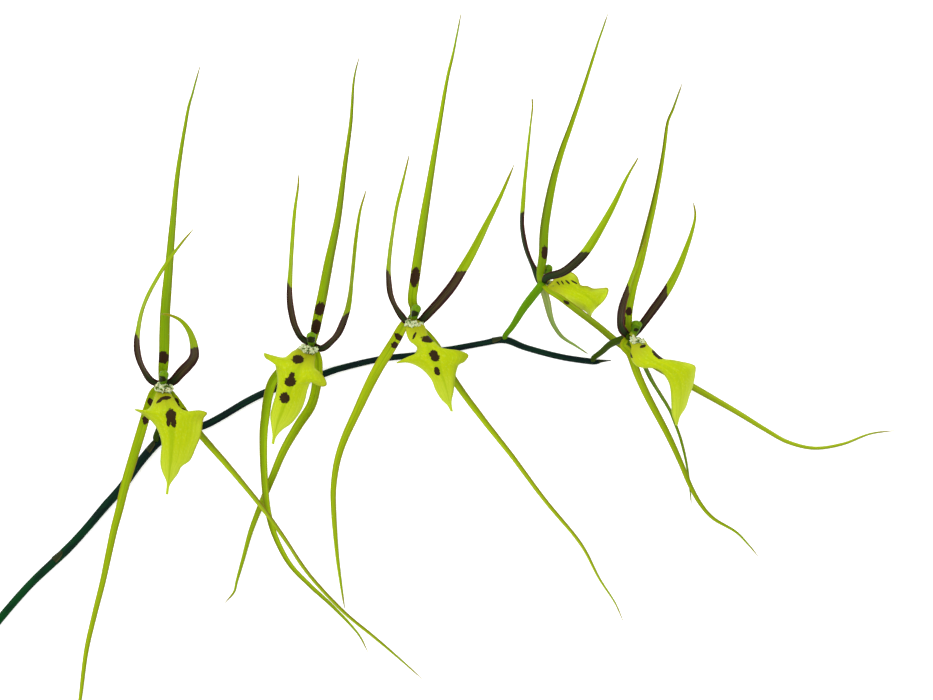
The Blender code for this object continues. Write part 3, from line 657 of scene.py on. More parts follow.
# %% Blades of bloom 3
add_blades(3, {
    "dorsal_sepal": (90, (0, 0, 0), (
        (-0.4, 7.5, 28), (0.9, 17, 30), (2.5, 28, 31), (4.5, 41.4, 30.5), (7.2, 58, 28),
        (9.9, 74.3, 23.5), (12.2, 87.8, 18), (15.3, 105.8, 8.2), (18, 117.5, 1.6),
        (19.2, 123.5, 0.3), (20.3, 129, 0.3), (21.6, 135.9, 0.3))),
    "petal_left": (203, (-52, -66, -10), (
        (-7.4, 3.6, 29.5), (-9.7, 9.2, 32.5), (-10.5, 15.2, 35.5), (-10.5, 22.5, 39), (-9.4, 33.3, 42.5),
        (-7.2, 48.2, 44), (-4.5, 60.3, 43.5), (-1.8, 72, 41.5))),
    "petal_right": (-20, (0, 0, 0), (
        (7.8, 1.7, 29.5), (13.0, 7.3, 31.8), (18.0, 13.6, 33), (21.6, 19.4, 34), (27, 28.8, 35),
        (32.9, 40.5, 34.5), (39.6, 54, 32.5), (45.5, 67.7, 29))),
    "lateral_sepal_left": (222, (0, 10, 0), (
        (-8.2, -11.5, 23.5), (-16.7, -25.7, 19.5), (-24.3, -41.4, 15), (-32.4, -59.9, 9.5),
        (-35.6, -75.6, 5.5), (-35.6, -90, 2.5), (-34.2, -107.6, 0.4), (-32.4, -121.5, 0.4),
        (-30.8, -131.9, 0.4))),
    "lateral_sepal_right": (318, (25, 25, 0), (
        (11, -14.5, 22.5), (19.4, -30.2, 18.5), (32, -47.3, 14), (45, -63.9, 10),
        (59.4, -83.3, 6), (75.2, -102.6, 2.6), (83.7, -118.4, 0.4), (90.7, -129.2, 0.4),
        (94.5, -137.7, 0.4))),
})

# %% [markdown]
# The fourth bloom is seen from behind. Its dorsal sepal and right petal show their backs, so their
# turns are near 180 degrees.

# %% Blades of bloom 4
add_blades(4, {
    "dorsal_sepal": (90, (180, 185, 180), (
        (0.9, 14, 40), (1.5, 25, 41), (3.2, 36, 40.5), (5.7, 48, 38.5), (9.2, 60, 35),
        (13.3, 71.5, 30.5), (18.6, 87, 22.5), (24.3, 104.9, 10.5), (30, 122, 0.4))),
    "petal_left": (30, (110, 110, 110), (
        (-6.3, 13.5, 31), (-8.6, 22.5, 29.5), (-9, 31.7, 28.5), (-7.7, 46.8, 26.5),
        (-5.9, 63.5, 23), (-4, 78.8, 18), (-4, 83.7, 16))),
    "petal_right": (150, (185, 180, 180), (
        (9.5, 5.6, 43), (15.3, 9.9, 45), (20.3, 15.3, 46), (26.1, 24.3, 46), (32.9, 36.5, 43.5),
        (38.7, 48.6, 39), (43.7, 57.2, 34.5))),
    "lateral_sepal_left": (325, (20, 0, 0), (
        (2.7, -7.2, 26), (4, -13.5, 16), (6, -18.6, 7.5), (9.8, -23.6, 2), (15.7, -27.4, 0.4),
        (21.1, -31, 0.4))),
    "lateral_sepal_right": (225, (15, 0, 0), (
        (7.6, -5.2, 41), (12.3, -8.5, 37.5), (17.8, -12.5, 30.5), (25.7, -18.5, 18.5), (35.6, -26.6, 8.5),
        (45, -32.5, 4.2), (55, -38.5, 2.6), (68.4, -45.9, 1.4), (86.6, -56.3, 0.4),
        (101.3, -65.3, 0.4), (111.2, -70.7, 0.4), (122.9, -73.4, 0.4), (135.5, -71.6, 1.2),
        (148, -67, 1.6), (158.9, -65.5, 0.4))),
})

# %% [markdown]
# The fifth bloom is seen from its side, and its left petal comes towards the camera.

# %% Blades of bloom 5
add_blades(5, {
    "dorsal_sepal": (90, (20, 10, 0), (
        (-0.1, 12.6, 30), (1.8, 22.5, 30), (5.2, 34.2, 29), (9.5, 51.3, 25.5),
        (13, 66.8, 20), (15.8, 82.4, 13.5), (17.6, 95.4, 7), (20.3, 102.6, 3.4),
        (24.3, 113.9, 0.4))),
    "petal_left": (150, (-46, -58, -20), (
        (-3.0, 7.2, 37), (-2.0, 13.5, 42.5), (0.6, 21.6, 49.5), (3.4, 30, 56.5), (5.9, 37, 62.5),
        (8.2, 44.5, 68))),
    "petal_right": (30, (10, 0, 0), (
        (10.4, 11, 27.5), (17.1, 20.3, 27), (21.8, 28.8, 26.5), (25.7, 38.3, 25.5),
        (28.8, 47.5, 24), (30.2, 54.5, 22.5), (29.3, 60.3, 21))),
    "lateral_sepal_left": (246, (25, 0, 0), (
        (1.0, -8, 30.5), (4.6, -17.5, 29), (9.5, -28.1, 26), (17.6, -43.7, 19),
        (23.4, -56.3, 12.5), (27.5, -66.2, 8), (32.4, -75.2, 4.4), (38.3, -81.9, 2),
        (48.2, -87.8, 0.4), (54, -93.6, 0.4), (58.5, -99, 0.4))),
    "lateral_sepal_right": (318, (50, 40, 0), (
        (5.4, -9.5, 24), (10.8, -19.8, 17.5), (14.4, -25.7, 13.5), (18.7, -32.9, 9),
        (21.2, -39.2, 6), (24.1, -47.7, 3.2), (26.6, -59.4, 0.8), (27.9, -70.2, 0.4),
        (28.4, -75.6, 0.4))),
})

# %% [markdown]
# ## Roots of the blades
# All blades start close together behind the column. Blooms 4 and 5 look away from the camera, so
# their blades turn at the root to show a flat side. A few roots are lifted or start lower, because
# a neighbour covers the plain place. What isn't named here follows the plain rule.

# %% Roots
ROOT_RADIUS = 2.55
CLAW_REACH = 5.0
FIRST_FRONT = {4: (0.3, 0.1, -0.95), 5: (0.45, -0.1, 0.9)}
ROOT_FRONT = {"bloom_4_lateral_sepal_left": (0.4, 0.1, 0.9),
              "bloom_4_lateral_sepal_right": (0.2, 0.3, 0.93)}

# How far in front of the seat a blade starts, and how far in front its claw ends
ROOT_AHEAD = 0.9
CLAW_RISE = 1.6
ROOT_LIFT = {"bloom_4_dorsal_sepal": (0.0, 0.9), "bloom_4_lateral_sepal_right": (0.5, 0.6),
             "bloom_5_petal_left": (-0.9, -1.4), "bloom_4_lateral_sepal_left": (0.9, 2.4)}
CLAW_SHORT = {"bloom_3_petal_left": 3.4, "bloom_3_petal_right": 3.0}
ROOT_IN = 1.3
BLADE_CELL_LENGTH = 1.1
ROUGH_STEPS = 40


def kind_of(name):
    """Dorsal sepal, lateral sepal or petal, from the name of a blade."""
    return name.split("_", 2)[2].removesuffix("_left").removesuffix("_right")


def root_points(number, degrees, radius, lift, reach, rise):
    """First two points of a blade: at the receptacle's rim, and further out from there."""
    seat, right, upward, face = bloom_frame(number)
    angle = math.radians(degrees)
    outward = right * math.cos(angle) + upward * math.sin(angle)
    return (seat + outward * radius + face * lift, seat + outward * reach + face * rise)


def blade_midline(name):
    """Evenly spaced points down the middle of a blade, and the length of the blade."""
    degrees, turns, points = BLADES[name]
    number = int(name.split("_")[1])
    seat = Vector(BLOOMS[number]["seat"])
    ahead = ROOT_AHEAD if kind_of(name) == "petal" else -ROOT_AHEAD
    lift, rise = ROOT_LIFT.get(name, (ahead, ahead * CLAW_RISE))
    reach = CLAW_SHORT.get(name, CLAW_REACH)
    way = list(root_points(number, degrees, ROOT_RADIUS - ROOT_IN, lift, reach, rise))
    way += [from_view(seat.x + x, seat.y + y, height) for x, y, height in points]
    rough = smooth_course(way, ROUGH_STEPS)
    length = sum((end - start).length for start, end in zip(rough, rough[1:]))
    count = round(length / BLADE_CELL_LENGTH)
    course = smooth_course(way, count)
    for point in course:
        point.z = max(point.z, SURFACE)
    return course, length


print("longest blade:", round(max(blade_midline(name)[1] for name in BLADES)), "mm")

# %% [markdown]
# ## How broad each blade is
# Blades of one kind have one outline, but no two are equally broad, and some show us their side. This
# is how much of the usual breadth each one has.

# %% Breadths
BREADTH_SHARE = {
    "bloom_1_lateral_sepal_left": 0.9, "bloom_1_lateral_sepal_right": 0.76, "bloom_2_dorsal_sepal": 0.95,
    "bloom_2_lateral_sepal_left": 0.88, "bloom_3_dorsal_sepal": 0.92, "bloom_3_lateral_sepal_right": 0.72,
    "bloom_4_dorsal_sepal": 0.86, "bloom_4_lateral_sepal_left": 0.72, "bloom_4_lateral_sepal_right": 0.8,
    "bloom_5_dorsal_sepal": 0.95, "bloom_5_lateral_sepal_left": 0.78, "bloom_5_lateral_sepal_right": 0.55,
    "bloom_1_petal_left": 0.85, "bloom_2_petal_left": 0.85, "bloom_2_petal_right": 0.85,
    "bloom_3_petal_left": 0.8, "bloom_3_petal_right": 0.94, "bloom_4_petal_right": 0.84,
    "bloom_5_petal_right": 0.84,
}
OWN_OUTLINE = {"bloom_4_lateral_sepal_right": "even"}
print("blades narrower than usual:", len(BREADTH_SHARE))

# %% [markdown]
# ## Grow the blades
# A real sepal has a shallow channel down its front and a slight wave in its edges. Both are added by
# a formula while the grid is laid along the midline, and both fade out where the blade rests on the
# floor, so that it lies flat there.

# %% Grow the blades
CHANNEL = 0.34
CHANNEL_POWER = 1.6
EDGE_WAVE = 0.22
WAVE_LENGTH = 9.0
OTHER_EDGE = 3
REST_FADE = 2.0
LYING_UNDER = 0.01
TURN_STATIONS = (0.16, 0.5, 1.0)
BLADE_CELLS_ACROSS = 10


def grow_blade(name):
    """One sepal or petal: a long channelled blade on its own curved midline."""
    degrees, turns, points = BLADES[name]
    kind = kind_of(name)
    number = int(name.split("_")[1])
    first_front = Vector(ROOT_FRONT.get(name, FIRST_FRONT.get(number, bloom_frame(number)[3])))
    course, length = blade_midline(name)
    count = len(course) - 1
    directions = headings(course)
    fronts = [(0.0, first_front)]
    for share, turn in zip(TURN_STATIONS, turns):
        fronts.append((share, turned_up(directions[round(share * count)], turn)))
    half_breadth = BREADTH[kind] / 2 * BREADTH_SHARE.get(name, 1.0)
    outline = BLADE_OUTLINE[OWN_OUTLINE.get(name, kind)]
    own_phase = 10.0 * len(name) + sum(map(ord, name))

    def place_point(share, across):
        index = round(share * count)
        centre, heading = course[index], directions[index]
        front = square_to(blend_directions(fronts, share), heading)
        side = heading.cross(front)
        half = half_breadth * read_outline(outline, share)
        resting = min(1.0, max(0.0, (centre.z - SURFACE) / REST_FADE))
        if centre.z < SURFACE + LYING_UNDER:
            side.z = 0.0
            side.normalize()
        along_mm = share * length
        phase = own_phase + OTHER_EDGE * math.copysign(1, across)
        sway = noise.noise(Vector((along_mm / WAVE_LENGTH, phase, 0)))
        fold = CHANNEL * half * abs(across) ** CHANNEL_POWER + EDGE_WAVE * sway * across ** 2
        point = centre + side * (across * half) + front * (fold * resting)
        point.z = max(point.z, SURFACE)
        return point, across * half, along_mm

    return grow_sheet(name, BLADE_CELLS_ACROSS, count, place_point, BLADE_THICKNESS, RIM_SHARE)


blades = {name: grow_blade(name) for name in BLADES}
for name, blade in blades.items():
    hand_over(blade, name)
print("blades:", len(blades))

# %% [markdown]
# ## Colours of the sepals
# A sepal is yellow-green, deeper near the flower and paler in its tail. Where a blade folds, one side
# turns from the light and looks olive. That shade is part of how each blade is told here, because the
# soft light alone leaves the folds too flat.

# %% Sepal colours
# Colour near the flower and far from it. Some of these carry painted light: the lateral sepals of
# blooms 1 to 3 are lighter near the flower to make up for the shadow of their lips, and the dorsal
# sepal of bloom 4 and the right lateral sepal of bloom 5 are darker as painted shade.
SEPAL_COLOURS = {
    "bloom_1_dorsal_sepal": ((136, 171, 2), (140, 168, 14)),
    "bloom_1_lateral_sepal_left": ((158, 184, 5), (162, 184, 14)),
    "bloom_1_lateral_sepal_right": ((168, 190, 6), (164, 182, 24)),
    "bloom_2_dorsal_sepal": ((146, 176, 2), (140, 164, 8)),
    "bloom_2_lateral_sepal_left": ((152, 184, 4), (158, 184, 10)),
    "bloom_2_lateral_sepal_right": ((184, 214, 8), (150, 174, 10)),
    "bloom_3_dorsal_sepal": ((152, 182, 3), (156, 184, 6)),
    "bloom_3_lateral_sepal_left": ((176, 196, 14), (162, 184, 14)),
    "bloom_3_lateral_sepal_right": ((176, 200, 10), (172, 190, 24)),
    "bloom_4_dorsal_sepal": ((118, 148, 3), (156, 176, 6)),
    "bloom_4_lateral_sepal_left": ((158, 172, 92), (148, 176, 90)),
    "bloom_4_lateral_sepal_right": ((150, 174, 6), (168, 186, 26)),
    "bloom_5_dorsal_sepal": ((150, 176, 4), (146, 168, 14)),
    "bloom_5_lateral_sepal_left": ((160, 180, 10), (152, 174, 10)),
    "bloom_5_lateral_sepal_right": ((88, 126, 2), (104, 140, 4)),
}
SEPAL_FIBRE = tissue(96, 132, 1)
SEPAL_EDGE = tissue(140, 104, 14)
SEPAL_SHADE = tissue(82, 96, 2)

# Which side of a blade is turned from the light: +1 or -1 across, and how much darker it is
SHADED_SIDE = {
    "bloom_1_dorsal_sepal": (1, 0.45), "bloom_1_lateral_sepal_left": (-1, 0.45),
    "bloom_1_lateral_sepal_right": (-1, 0.6), "bloom_2_dorsal_sepal": (1, 0.7),
    "bloom_2_lateral_sepal_left": (1, 0.5), "bloom_2_lateral_sepal_right": (-1, 0.4),
    "bloom_3_dorsal_sepal": (1, 0.6), "bloom_3_lateral_sepal_left": (-1, 0.35),
    "bloom_3_lateral_sepal_right": (-1, 0.55), "bloom_4_dorsal_sepal": (1, 0.85),
    "bloom_4_lateral_sepal_right": (1, 0.4), "bloom_5_dorsal_sepal": (-1, 0.85),
    "bloom_5_lateral_sepal_left": (-1, 0.45),
}
USUAL_SHADE = (1, 0.2)
print("sepals with a side in shade:", len(SHADED_SIDE))

# %% [markdown]
# ## Blotches of the sepals
# Dark brown blotches lie near the root. Each one is written as where the camera sees it, from the
# flower's seat, then its breadth and length on the tissue and its turn in degrees.

# %% Sepal blotches
BLOTCH_DARK = tissue(34, 24, 8)
BLOTCH_LIGHT = tissue(64, 38, 18)
SEPAL_MARKS = {
    "bloom_1_dorsal_sepal": ((0, 12.4, 5.6, 5.6, 0),),
    "bloom_1_lateral_sepal_left": ((-5.6, -7.7, 2.6, 3.9, 20), (-7.9, -15.6, 2.8, 4.2, 0)),
    "bloom_1_lateral_sepal_right": ((6.3, -7.0, 1.3, 2.8, 35), (6.9, -9.0, 1.2, 1.8, 30),
                                    (9.6, -11.4, 1.4, 2.6, 50)),
    "bloom_2_dorsal_sepal": ((2.0, 8.3, 4.6, 6.8, -10), (3.6, 16.2, 4.4, 6.4, -12)),
    "bloom_3_dorsal_sepal": ((0.9, 17.1, 4.2, 9.0, -8),),
    "bloom_3_lateral_sepal_left": ((-6.4, -10.0, 2.6, 5.0, 50), (-8.3, -13.6, 3.3, 2.9, 0)),
    "bloom_4_dorsal_sepal": ((1.7, 14.6, 3.0, 6.0, 0),),
    "bloom_4_lateral_sepal_right": ((11.5, -7.9, 1.6, 3.0, 60),),
    "bloom_5_dorsal_sepal": ((0.3, 11.2, 2.9, 4.0, 0), (-1.6, 6.0, 0.8, 6.8, -5)),
}
print("blotches:", sum(len(marks) for marks in SEPAL_MARKS.values()))

# %% [markdown]
# ## The skin of the sepals
# The skin is laid from below upwards, as a painter would: the green, its fibres, a line along the
# middle, the side in shade, a thin brownish edge, a brown tip and last the blotches.

# %% Sepal finish
SEPAL_ROUGHNESS = 0.42
NEAR_TO_FAR = (0.1, 0.6)
MIDDLE_LINE = (0.32, 0.0)
SHADE_ACROSS = (-0.05, 0.75)
SHADE_BEGINS = (0.04, 0.2)
EDGE_BAND = (0.8, 1.0)
SEPAL_TIP = (0.93, 1.0)


def sepal_finish(name):
    """The finish of one sepal with its own blotches."""
    near, far = SEPAL_COLOURS[name]
    skin = Skin(name + "_skin", SEPAL_ROUGHNESS)
    skin.colour = tissue(*near)
    skin.tint(tissue(*far), skin.step(skin.share, *NEAR_TO_FAR))
    add_fibres(skin, SEPAL_FIBRE, 0.5)
    skin.tint(SEPAL_FIBRE, skin.step(skin.edge, *MIDDLE_LINE), 0.4)
    direction, depth = SHADED_SIDE.get(name, USUAL_SHADE)
    turned = skin.step(skin.times(skin.side, direction), *SHADE_ACROSS)
    skin.tint(SEPAL_SHADE, skin.times(turned, skin.step(skin.share, *SHADE_BEGINS)), depth)
    skin.tint(SEPAL_EDGE, skin.step(skin.edge, *EDGE_BAND), 0.55)
    skin.tint(SEPAL_EDGE, skin.step(skin.share, *SEPAL_TIP), 0.6)
    add_marks(skin, put_marks(name, SEPAL_MARKS.get(name, ())), BLOTCH_DARK, BLOTCH_LIGHT)
    return skin.finish(fibre_lines(skin), *FIBRE_RELIEF)


for name in SEPAL_COLOURS:
    blades[name].data.materials.append(sepal_finish(name))
print("finished sepals:", len(SEPAL_COLOURS))

# %% [markdown]
# ## The skin of the petals
# A petal is dark brown-purple for nearly half its length and green beyond, and the change is sharp
# and a little slanted. The dark part has an olive middle, near-black purple edges and faint lines.
# Both skins are laid one after the other, and the green one is then laid over the dark one from where
# the dark part ends.

# %% Petal finish
PETAL_ROUGHNESS = 0.4
PETAL_GREEN = tissue(146, 172, 6)
PETAL_FIBRE = tissue(108, 138, 2)
PETAL_TIP = (0.82, 1.0)
DARK_MIDDLE = tissue(78, 62, 34)
DARK_EDGE = tissue(44, 12, 20)
DARK_LINE = tissue(38, 30, 18)
GREENISH_DARK = tissue(24, 52, 22)
RUSTY_RIM = tissue(116, 66, 34)
GREENISH = {"bloom_4_petal_left": 0.7, "bloom_4_petal_right": 0.45}
ROOT_DARK = (15.0, 4.0)
RAGGED_END = 3.0
CHANGE = (1.1, 1.9)

# Where the dark part ends, as the camera sees it from the seat, and its slant across the petal
DARK_END = {
    "bloom_1_petal_left": (-11.7, 22.5, 0.3), "bloom_1_petal_right": (14, 17.6, -0.3),
    "bloom_2_petal_left": (-10.4, 27.0, 0.5), "bloom_2_petal_right": (16, 14.0, -0.5),
    "bloom_3_petal_left": (-11.0, 19.8, 0.5), "bloom_3_petal_right": (21.6, 19.4, -0.6),
    "bloom_4_petal_left": (-9, 32.0, 0.5), "bloom_4_petal_right": (20.3, 15.3, 1.0),
    "bloom_5_petal_left": (0.9, 20.5, 0.6), "bloom_5_petal_right": (17.6, 20.5, 1.2),
}


def lay_petal_green(skin):
    """The green of a petal with its fibres, edges and tip."""
    skin.colour = PETAL_GREEN
    add_fibres(skin, PETAL_FIBRE, 0.5)
    skin.tint(SEPAL_EDGE, skin.step(skin.edge, *EDGE_BAND), 0.35)
    skin.tint(SEPAL_EDGE, skin.step(skin.share, *PETAL_TIP), 0.6)


def lay_petal_dark(skin, greenish):
    """The dark of a petal's lower part, with its lines, root, edges and rusty rim."""
    skin.colour = DARK_MIDDLE
    skin.tint(DARK_LINE, skin.step(skin.grain(4.0, 0.04), 0.42, 0.62))
    skin.tint(GREENISH_DARK, greenish)
    skin.tint(GREENISH_DARK, skin.step(skin.along, *ROOT_DARK), 0.72)
    skin.tint(DARK_EDGE, skin.step(skin.edge, 0.45, 0.85))
    skin.tint(RUSTY_RIM, skin.step(skin.edge, 0.9, 1.0), 0.6)


def petal_finish(name):
    """The finish of one petal: green over dark, from where the dark part ends."""
    skin = Skin(name + "_skin", PETAL_ROUGHNESS)
    lay_petal_green(skin)
    green = skin.colour
    lay_petal_dark(skin, GREENISH.get(name, 0.0))
    x, y, slant = DARK_END[name]
    goal, (seen, measures, point) = nearest_place(name, x, y)
    end = measures[3]
    ragged = skin.times(skin.grain(1.1, 0.5, FIBRE_DETAIL), RAGGED_END)
    reach = skin.plus(skin.plus(skin.along, skin.times(skin.across, slant)), ragged)
    skin.tint(green, skin.step(reach, end + CHANGE[0], end + CHANGE[1]))
    return skin.finish(fibre_lines(skin), *FIBRE_RELIEF)


for name in DARK_END:
    blades[name].data.materials.append(petal_finish(name))
print("finished petals:", len(DARK_END))

# %% [markdown]
# ## The lips
# The lip is the broad sheet that makes the flower's landing place. It starts as a narrow throat,
# flares into two side points and ends in a drawn-out tip, and its sides roll back. Its shape is given
# by ribs: each one is the left edge, the middle and the right edge, counted from the seat, with the
# height of the middle above the floor. Each rib reads: left x, left y, middle x, middle y, middle
# height, right x, right y.

# %% Lip ribs
LIP_RIBS = {}
LIP_RIBS[1] = (
    (-1.5, -2, 0.4, -2.2, 27, 2.3, -2), (-2.7, -4, 1.4, -4.9, 31, 4.3, -4.2),
    (-3.8, -7.1, 2.7, -7.8, 35, 6, -6.9), (-5.3, -10.2, 3.6, -10.4, 36.6, 8.6, -10.4),
    (-8.3, -11.6, 4.1, -12, 36.8, 12.8, -11.9), (-12.2, -10.9, 4.3, -13.6, 36.7, 16.8, -11.3),
    (-9.4, -12.6, 4.4, -14.9, 36.5, 20.4, -12.4), (-7.1, -14.2, 4.5, -16.5, 36.1, 18.8, -14.9),
    (-4.3, -16.5, 4.5, -19.2, 35.3, 18.2, -18.3), (-1.6, -20.5, 4.4, -23.2, 34, 17.4, -22.8),
    (-0.1, -25.9, 4.1, -28.2, 32.6, 15.1, -28.2), (-0.6, -31.3, 3.9, -33.1, 31.2, 12.6, -33.6),
    (-0.7, -35.8, 3.6, -36.7, 30.1, 8.7, -36.6), (0.3, -39.4, 3.2, -40.8, 29.1, 6.9, -39.9),
    (2.1, -43.5, 2.7, -44.8, 28.3, 3.5, -44.8), (1.7, -49.1, 2.2, -49.1, 27.8, 2.7, -49.1),
)
print("ribs of lip 1:", len(LIP_RIBS[1]))

# %% [markdown]
# The second lip leans to the left, and its left side point reaches far out.

# %% Ribs of lip 2
LIP_RIBS[2] = (
    (-1.9, -1.8, -0.2, -2.2, 25, 1.5, -2.2), (-5.2, -1.8, -1.8, -5.4, 29, 1.6, -5.2),
    (-8.2, -2.7, -3.7, -8.1, 33, 1.4, -8.1), (-12.2, -5.6, -5.4, -10.8, 35.5, 1.7, -10.5),
    (-18, -4.5, -6.3, -12.3, 36, 3.8, -12.3), (-21.2, -3.7, -7, -13.7, 36.1, 6.2, -15.2),
    (-20.2, -6.1, -7.7, -15, 36, 6.7, -18.1), (-16.8, -7.2, -8.3, -16.6, 35.7, 3.7, -18.4),
    (-15.7, -11.2, -9.5, -19.3, 35, 0.1, -16.4), (-15.1, -16.1, -10.9, -22.9, 33.8, -1.7, -19.7),
    (-15.8, -21.5, -12.2, -26.4, 32.4, -2.8, -24.2), (-17.4, -26.9, -13.6, -30.3, 31, -4.7, -29.2),
    (-18.4, -31.9, -14.9, -33.9, 29.8, -8.7, -34.8), (-17.9, -36.8, -15.9, -37.5, 28.8, -13.2, -38.1),
    (-17.4, -40.8, -16.7, -41.3, 28, -15.9, -41.3), (-17.8, -44.3, -17.3, -44.4, 27.5, -16.9, -44.6),
)
print("ribs of lip 2:", len(LIP_RIBS[2]))

# %% [markdown]
# The third lip leans to the right.

# %% Ribs of lip 3
LIP_RIBS[3] = (
    (-1.8, -2.1, 0.1, -2.3, 27, 2.1, -2.1), (-2.9, -4.5, 1.4, -5.4, 31, 5, -4.5),
    (-3, -7.7, 3.2, -8.6, 34.5, 6.6, -8.8), (-1.5, -11.5, 5.3, -11.3, 36.3, 9.3, -11.9),
    (1.9, -14.6, 6.8, -13.7, 36.8, 12.9, -14.9), (0.6, -17.8, 7.9, -15.8, 36.8, 17.6, -15.8),
    (-3.9, -19.8, 8.8, -17.3, 36.6, 21.8, -16.4), (-7.4, -21.6, 9.7, -19.1, 36.3, 24.9, -18.1),
    (-3.5, -21.3, 10.6, -20.9, 35.9, 23.2, -20.9), (0.5, -22.2, 11.5, -23.1, 35.3, 20.5, -22.5),
    (4.8, -24.9, 12.6, -26.1, 34.3, 19.3, -26.1), (8.4, -29.2, 14, -29.6, 33.1, 18.7, -30.1),
    (10.2, -33.7, 15.3, -33.7, 31.9, 18.2, -34.6), (12.8, -37.9, 16.2, -37.5, 30.9, 17.4, -38.2),
    (15.5, -40.6, 17, -40.6, 30.1, 17.4, -40.9), (17.0, -43.3, 17.5, -43.3, 29.6, 17.9, -43.4),
)
print("ribs of lip 3:", len(LIP_RIBS[3]))

# %% [markdown]
# The fourth lip is seen from behind, so it hangs down from the flower and we see its back.

# %% Ribs of lip 4
LIP_RIBS[4] = (
    (1.9, -1.4, 1.4, -2.1, 35.7, 1.6, -2.7), (4.0, 0.6, 4.5, -1.3, 34, 4.7, -2.8),
    (9.2, 5.9, 8.4, -0.1, 32.3, 7.9, -4.6), (13.5, 5.4, 11.5, -0.6, 30.5, 11.1, -6.6),
    (16, 3.5, 14.2, -1.2, 28.8, 13.8, -8.2), (17.6, -0.1, 16.5, -2.2, 27.2, 16.1, -9.6),
    (20.6, -0.6, 18.8, -3.2, 25.6, 17.9, -10.7), (23.3, -1.7, 20.6, -4.5, 24, 19.3, -11.4),
    (26.5, -1.6, 22, -5.9, 22.4, 20.2, -12), (29.4, -1.4, 23.1, -7.2, 20.8, 20.8, -12.6),
    (30.1, -2.7, 23.8, -8.3, 19.2, 21.1, -13), (29.1, -5.6, 24.1, -9.4, 17.6, 21.4, -13.4),
    (27.1, -8.2, 24, -10.6, 16, 21.6, -13.6), (24.6, -9.8, 23.6, -11.4, 14.4, 21.8, -13.7),
    (23.3, -11.9, 22.8, -12.6, 12.9, 21.9, -13.8), (22.5, -14.0, 22, -14.1, 11.5, 21.6, -14.3),
)
print("ribs of lip 4:", len(LIP_RIBS[4]))

# %% [markdown]
# The fifth lip is seen from its side, narrow at its throat and broad further down.

# %% Ribs of lip 5
LIP_RIBS[5] = (
    (0.5, -2.6, 0.9, -2.4, 32.2, 1.9, -2.1), (1.2, -4.8, 2.9, -3.7, 35.4, 6.8, -1.7),
    (0.9, -9.3, 5.6, -5.7, 36.6, 8.5, -3.9), (3.1, -12.9, 8, -8.2, 38, 10.9, -6.2),
    (6.6, -14.1, 10.4, -10.2, 38.5, 13.3, -8.6), (9.8, -14.1, 12.9, -11.7, 38.7, 15.8, -10.2),
    (12.7, -14.6, 15.4, -13.1, 38.6, 19.2, -10.6), (14.9, -16.1, 17.8, -14.6, 38.2, 23, -11.3),
    (16.7, -18.5, 19.9, -16.4, 37.4, 27, -12.1), (17.9, -20.7, 21.5, -18.7, 36, 29.8, -13.5),
    (18.7, -23.6, 22.6, -21.6, 34.2, 29.8, -16.9), (19.1, -27.7, 23.1, -25.4, 31.8, 29, -21.6),
    (19.3, -31.3, 23, -29.5, 29.2, 27.3, -26.8), (19.6, -34.9, 22.6, -33.5, 26.6, 25.7, -32),
    (20.6, -37.8, 22.1, -36.9, 24.2, 23.3, -35.8), (21.4, -39.9, 21.8, -39.7, 22, 22.2, -39.5),
)
print("ribs of lip 5:", len(LIP_RIBS[5]))

# %% [markdown]
# ## Grow the lips
# A smooth curve through all left edges, one through the middles and one through the right edges make
# the outline. Between them a side bends like part of a circle, so it rolls back. We could bend a flat
# grid with a modifier, but a rule for each point lets every side roll by its own angle.

# %% Lip bends
# How steeply each side falls away from the middle, and how far it rolls back, left and right
LIP_FALL = {1: (0.55, 0.22), 2: (0.5, 0.3), 3: (0.3, 0.35), 4: (-1.3, 0.9), 5: (0.45, 0.6)}
LIP_ROLL = {1: (88, 45), 2: (84, 60), 3: (55, 70), 4: (40, 40), 5: (85, 40)}

# How far the ribs bend towards the throat on their way into a side point, left and right
LIP_BOW = {1: (0.7, 0.3), 2: (0.6, 1.9), 3: (0.8, 0.8), 4: (0, 0), 5: (0, 0.5)}
LIP_THICKNESS = 0.9
LIP_RIM_SHARE = 0.35
LIP_CELLS_ACROSS = 36
LIP_CELLS_PER_RIB = 7
FALL_REACH = 8.0
BOW_RIB = 6.6
BOW_SPREAD = 1.3
LIP_EDGE_WAVE = 0.5
WAVES_PER_RIB = 0.9
WAVE_FULL_AT = 5


def through(points, place):
    """A place on the smooth curve through evenly numbered points."""
    index = min(int(place), len(points) - 2)
    start, end = points[index], points[index + 1]
    before = points[index - 1] if index > 0 else 2 * start - end
    after = points[index + 2] if index + 2 < len(points) else 2 * end - start
    return smooth_between(before, start, end, after, place - index)


print("a lip is", LIP_THICKNESS, "mm thick in its middle")

# %% [markdown]
# Now the sheet itself. The bow pulls the ribs towards the throat where they run into a side point,
# and a little noise waves the margin.

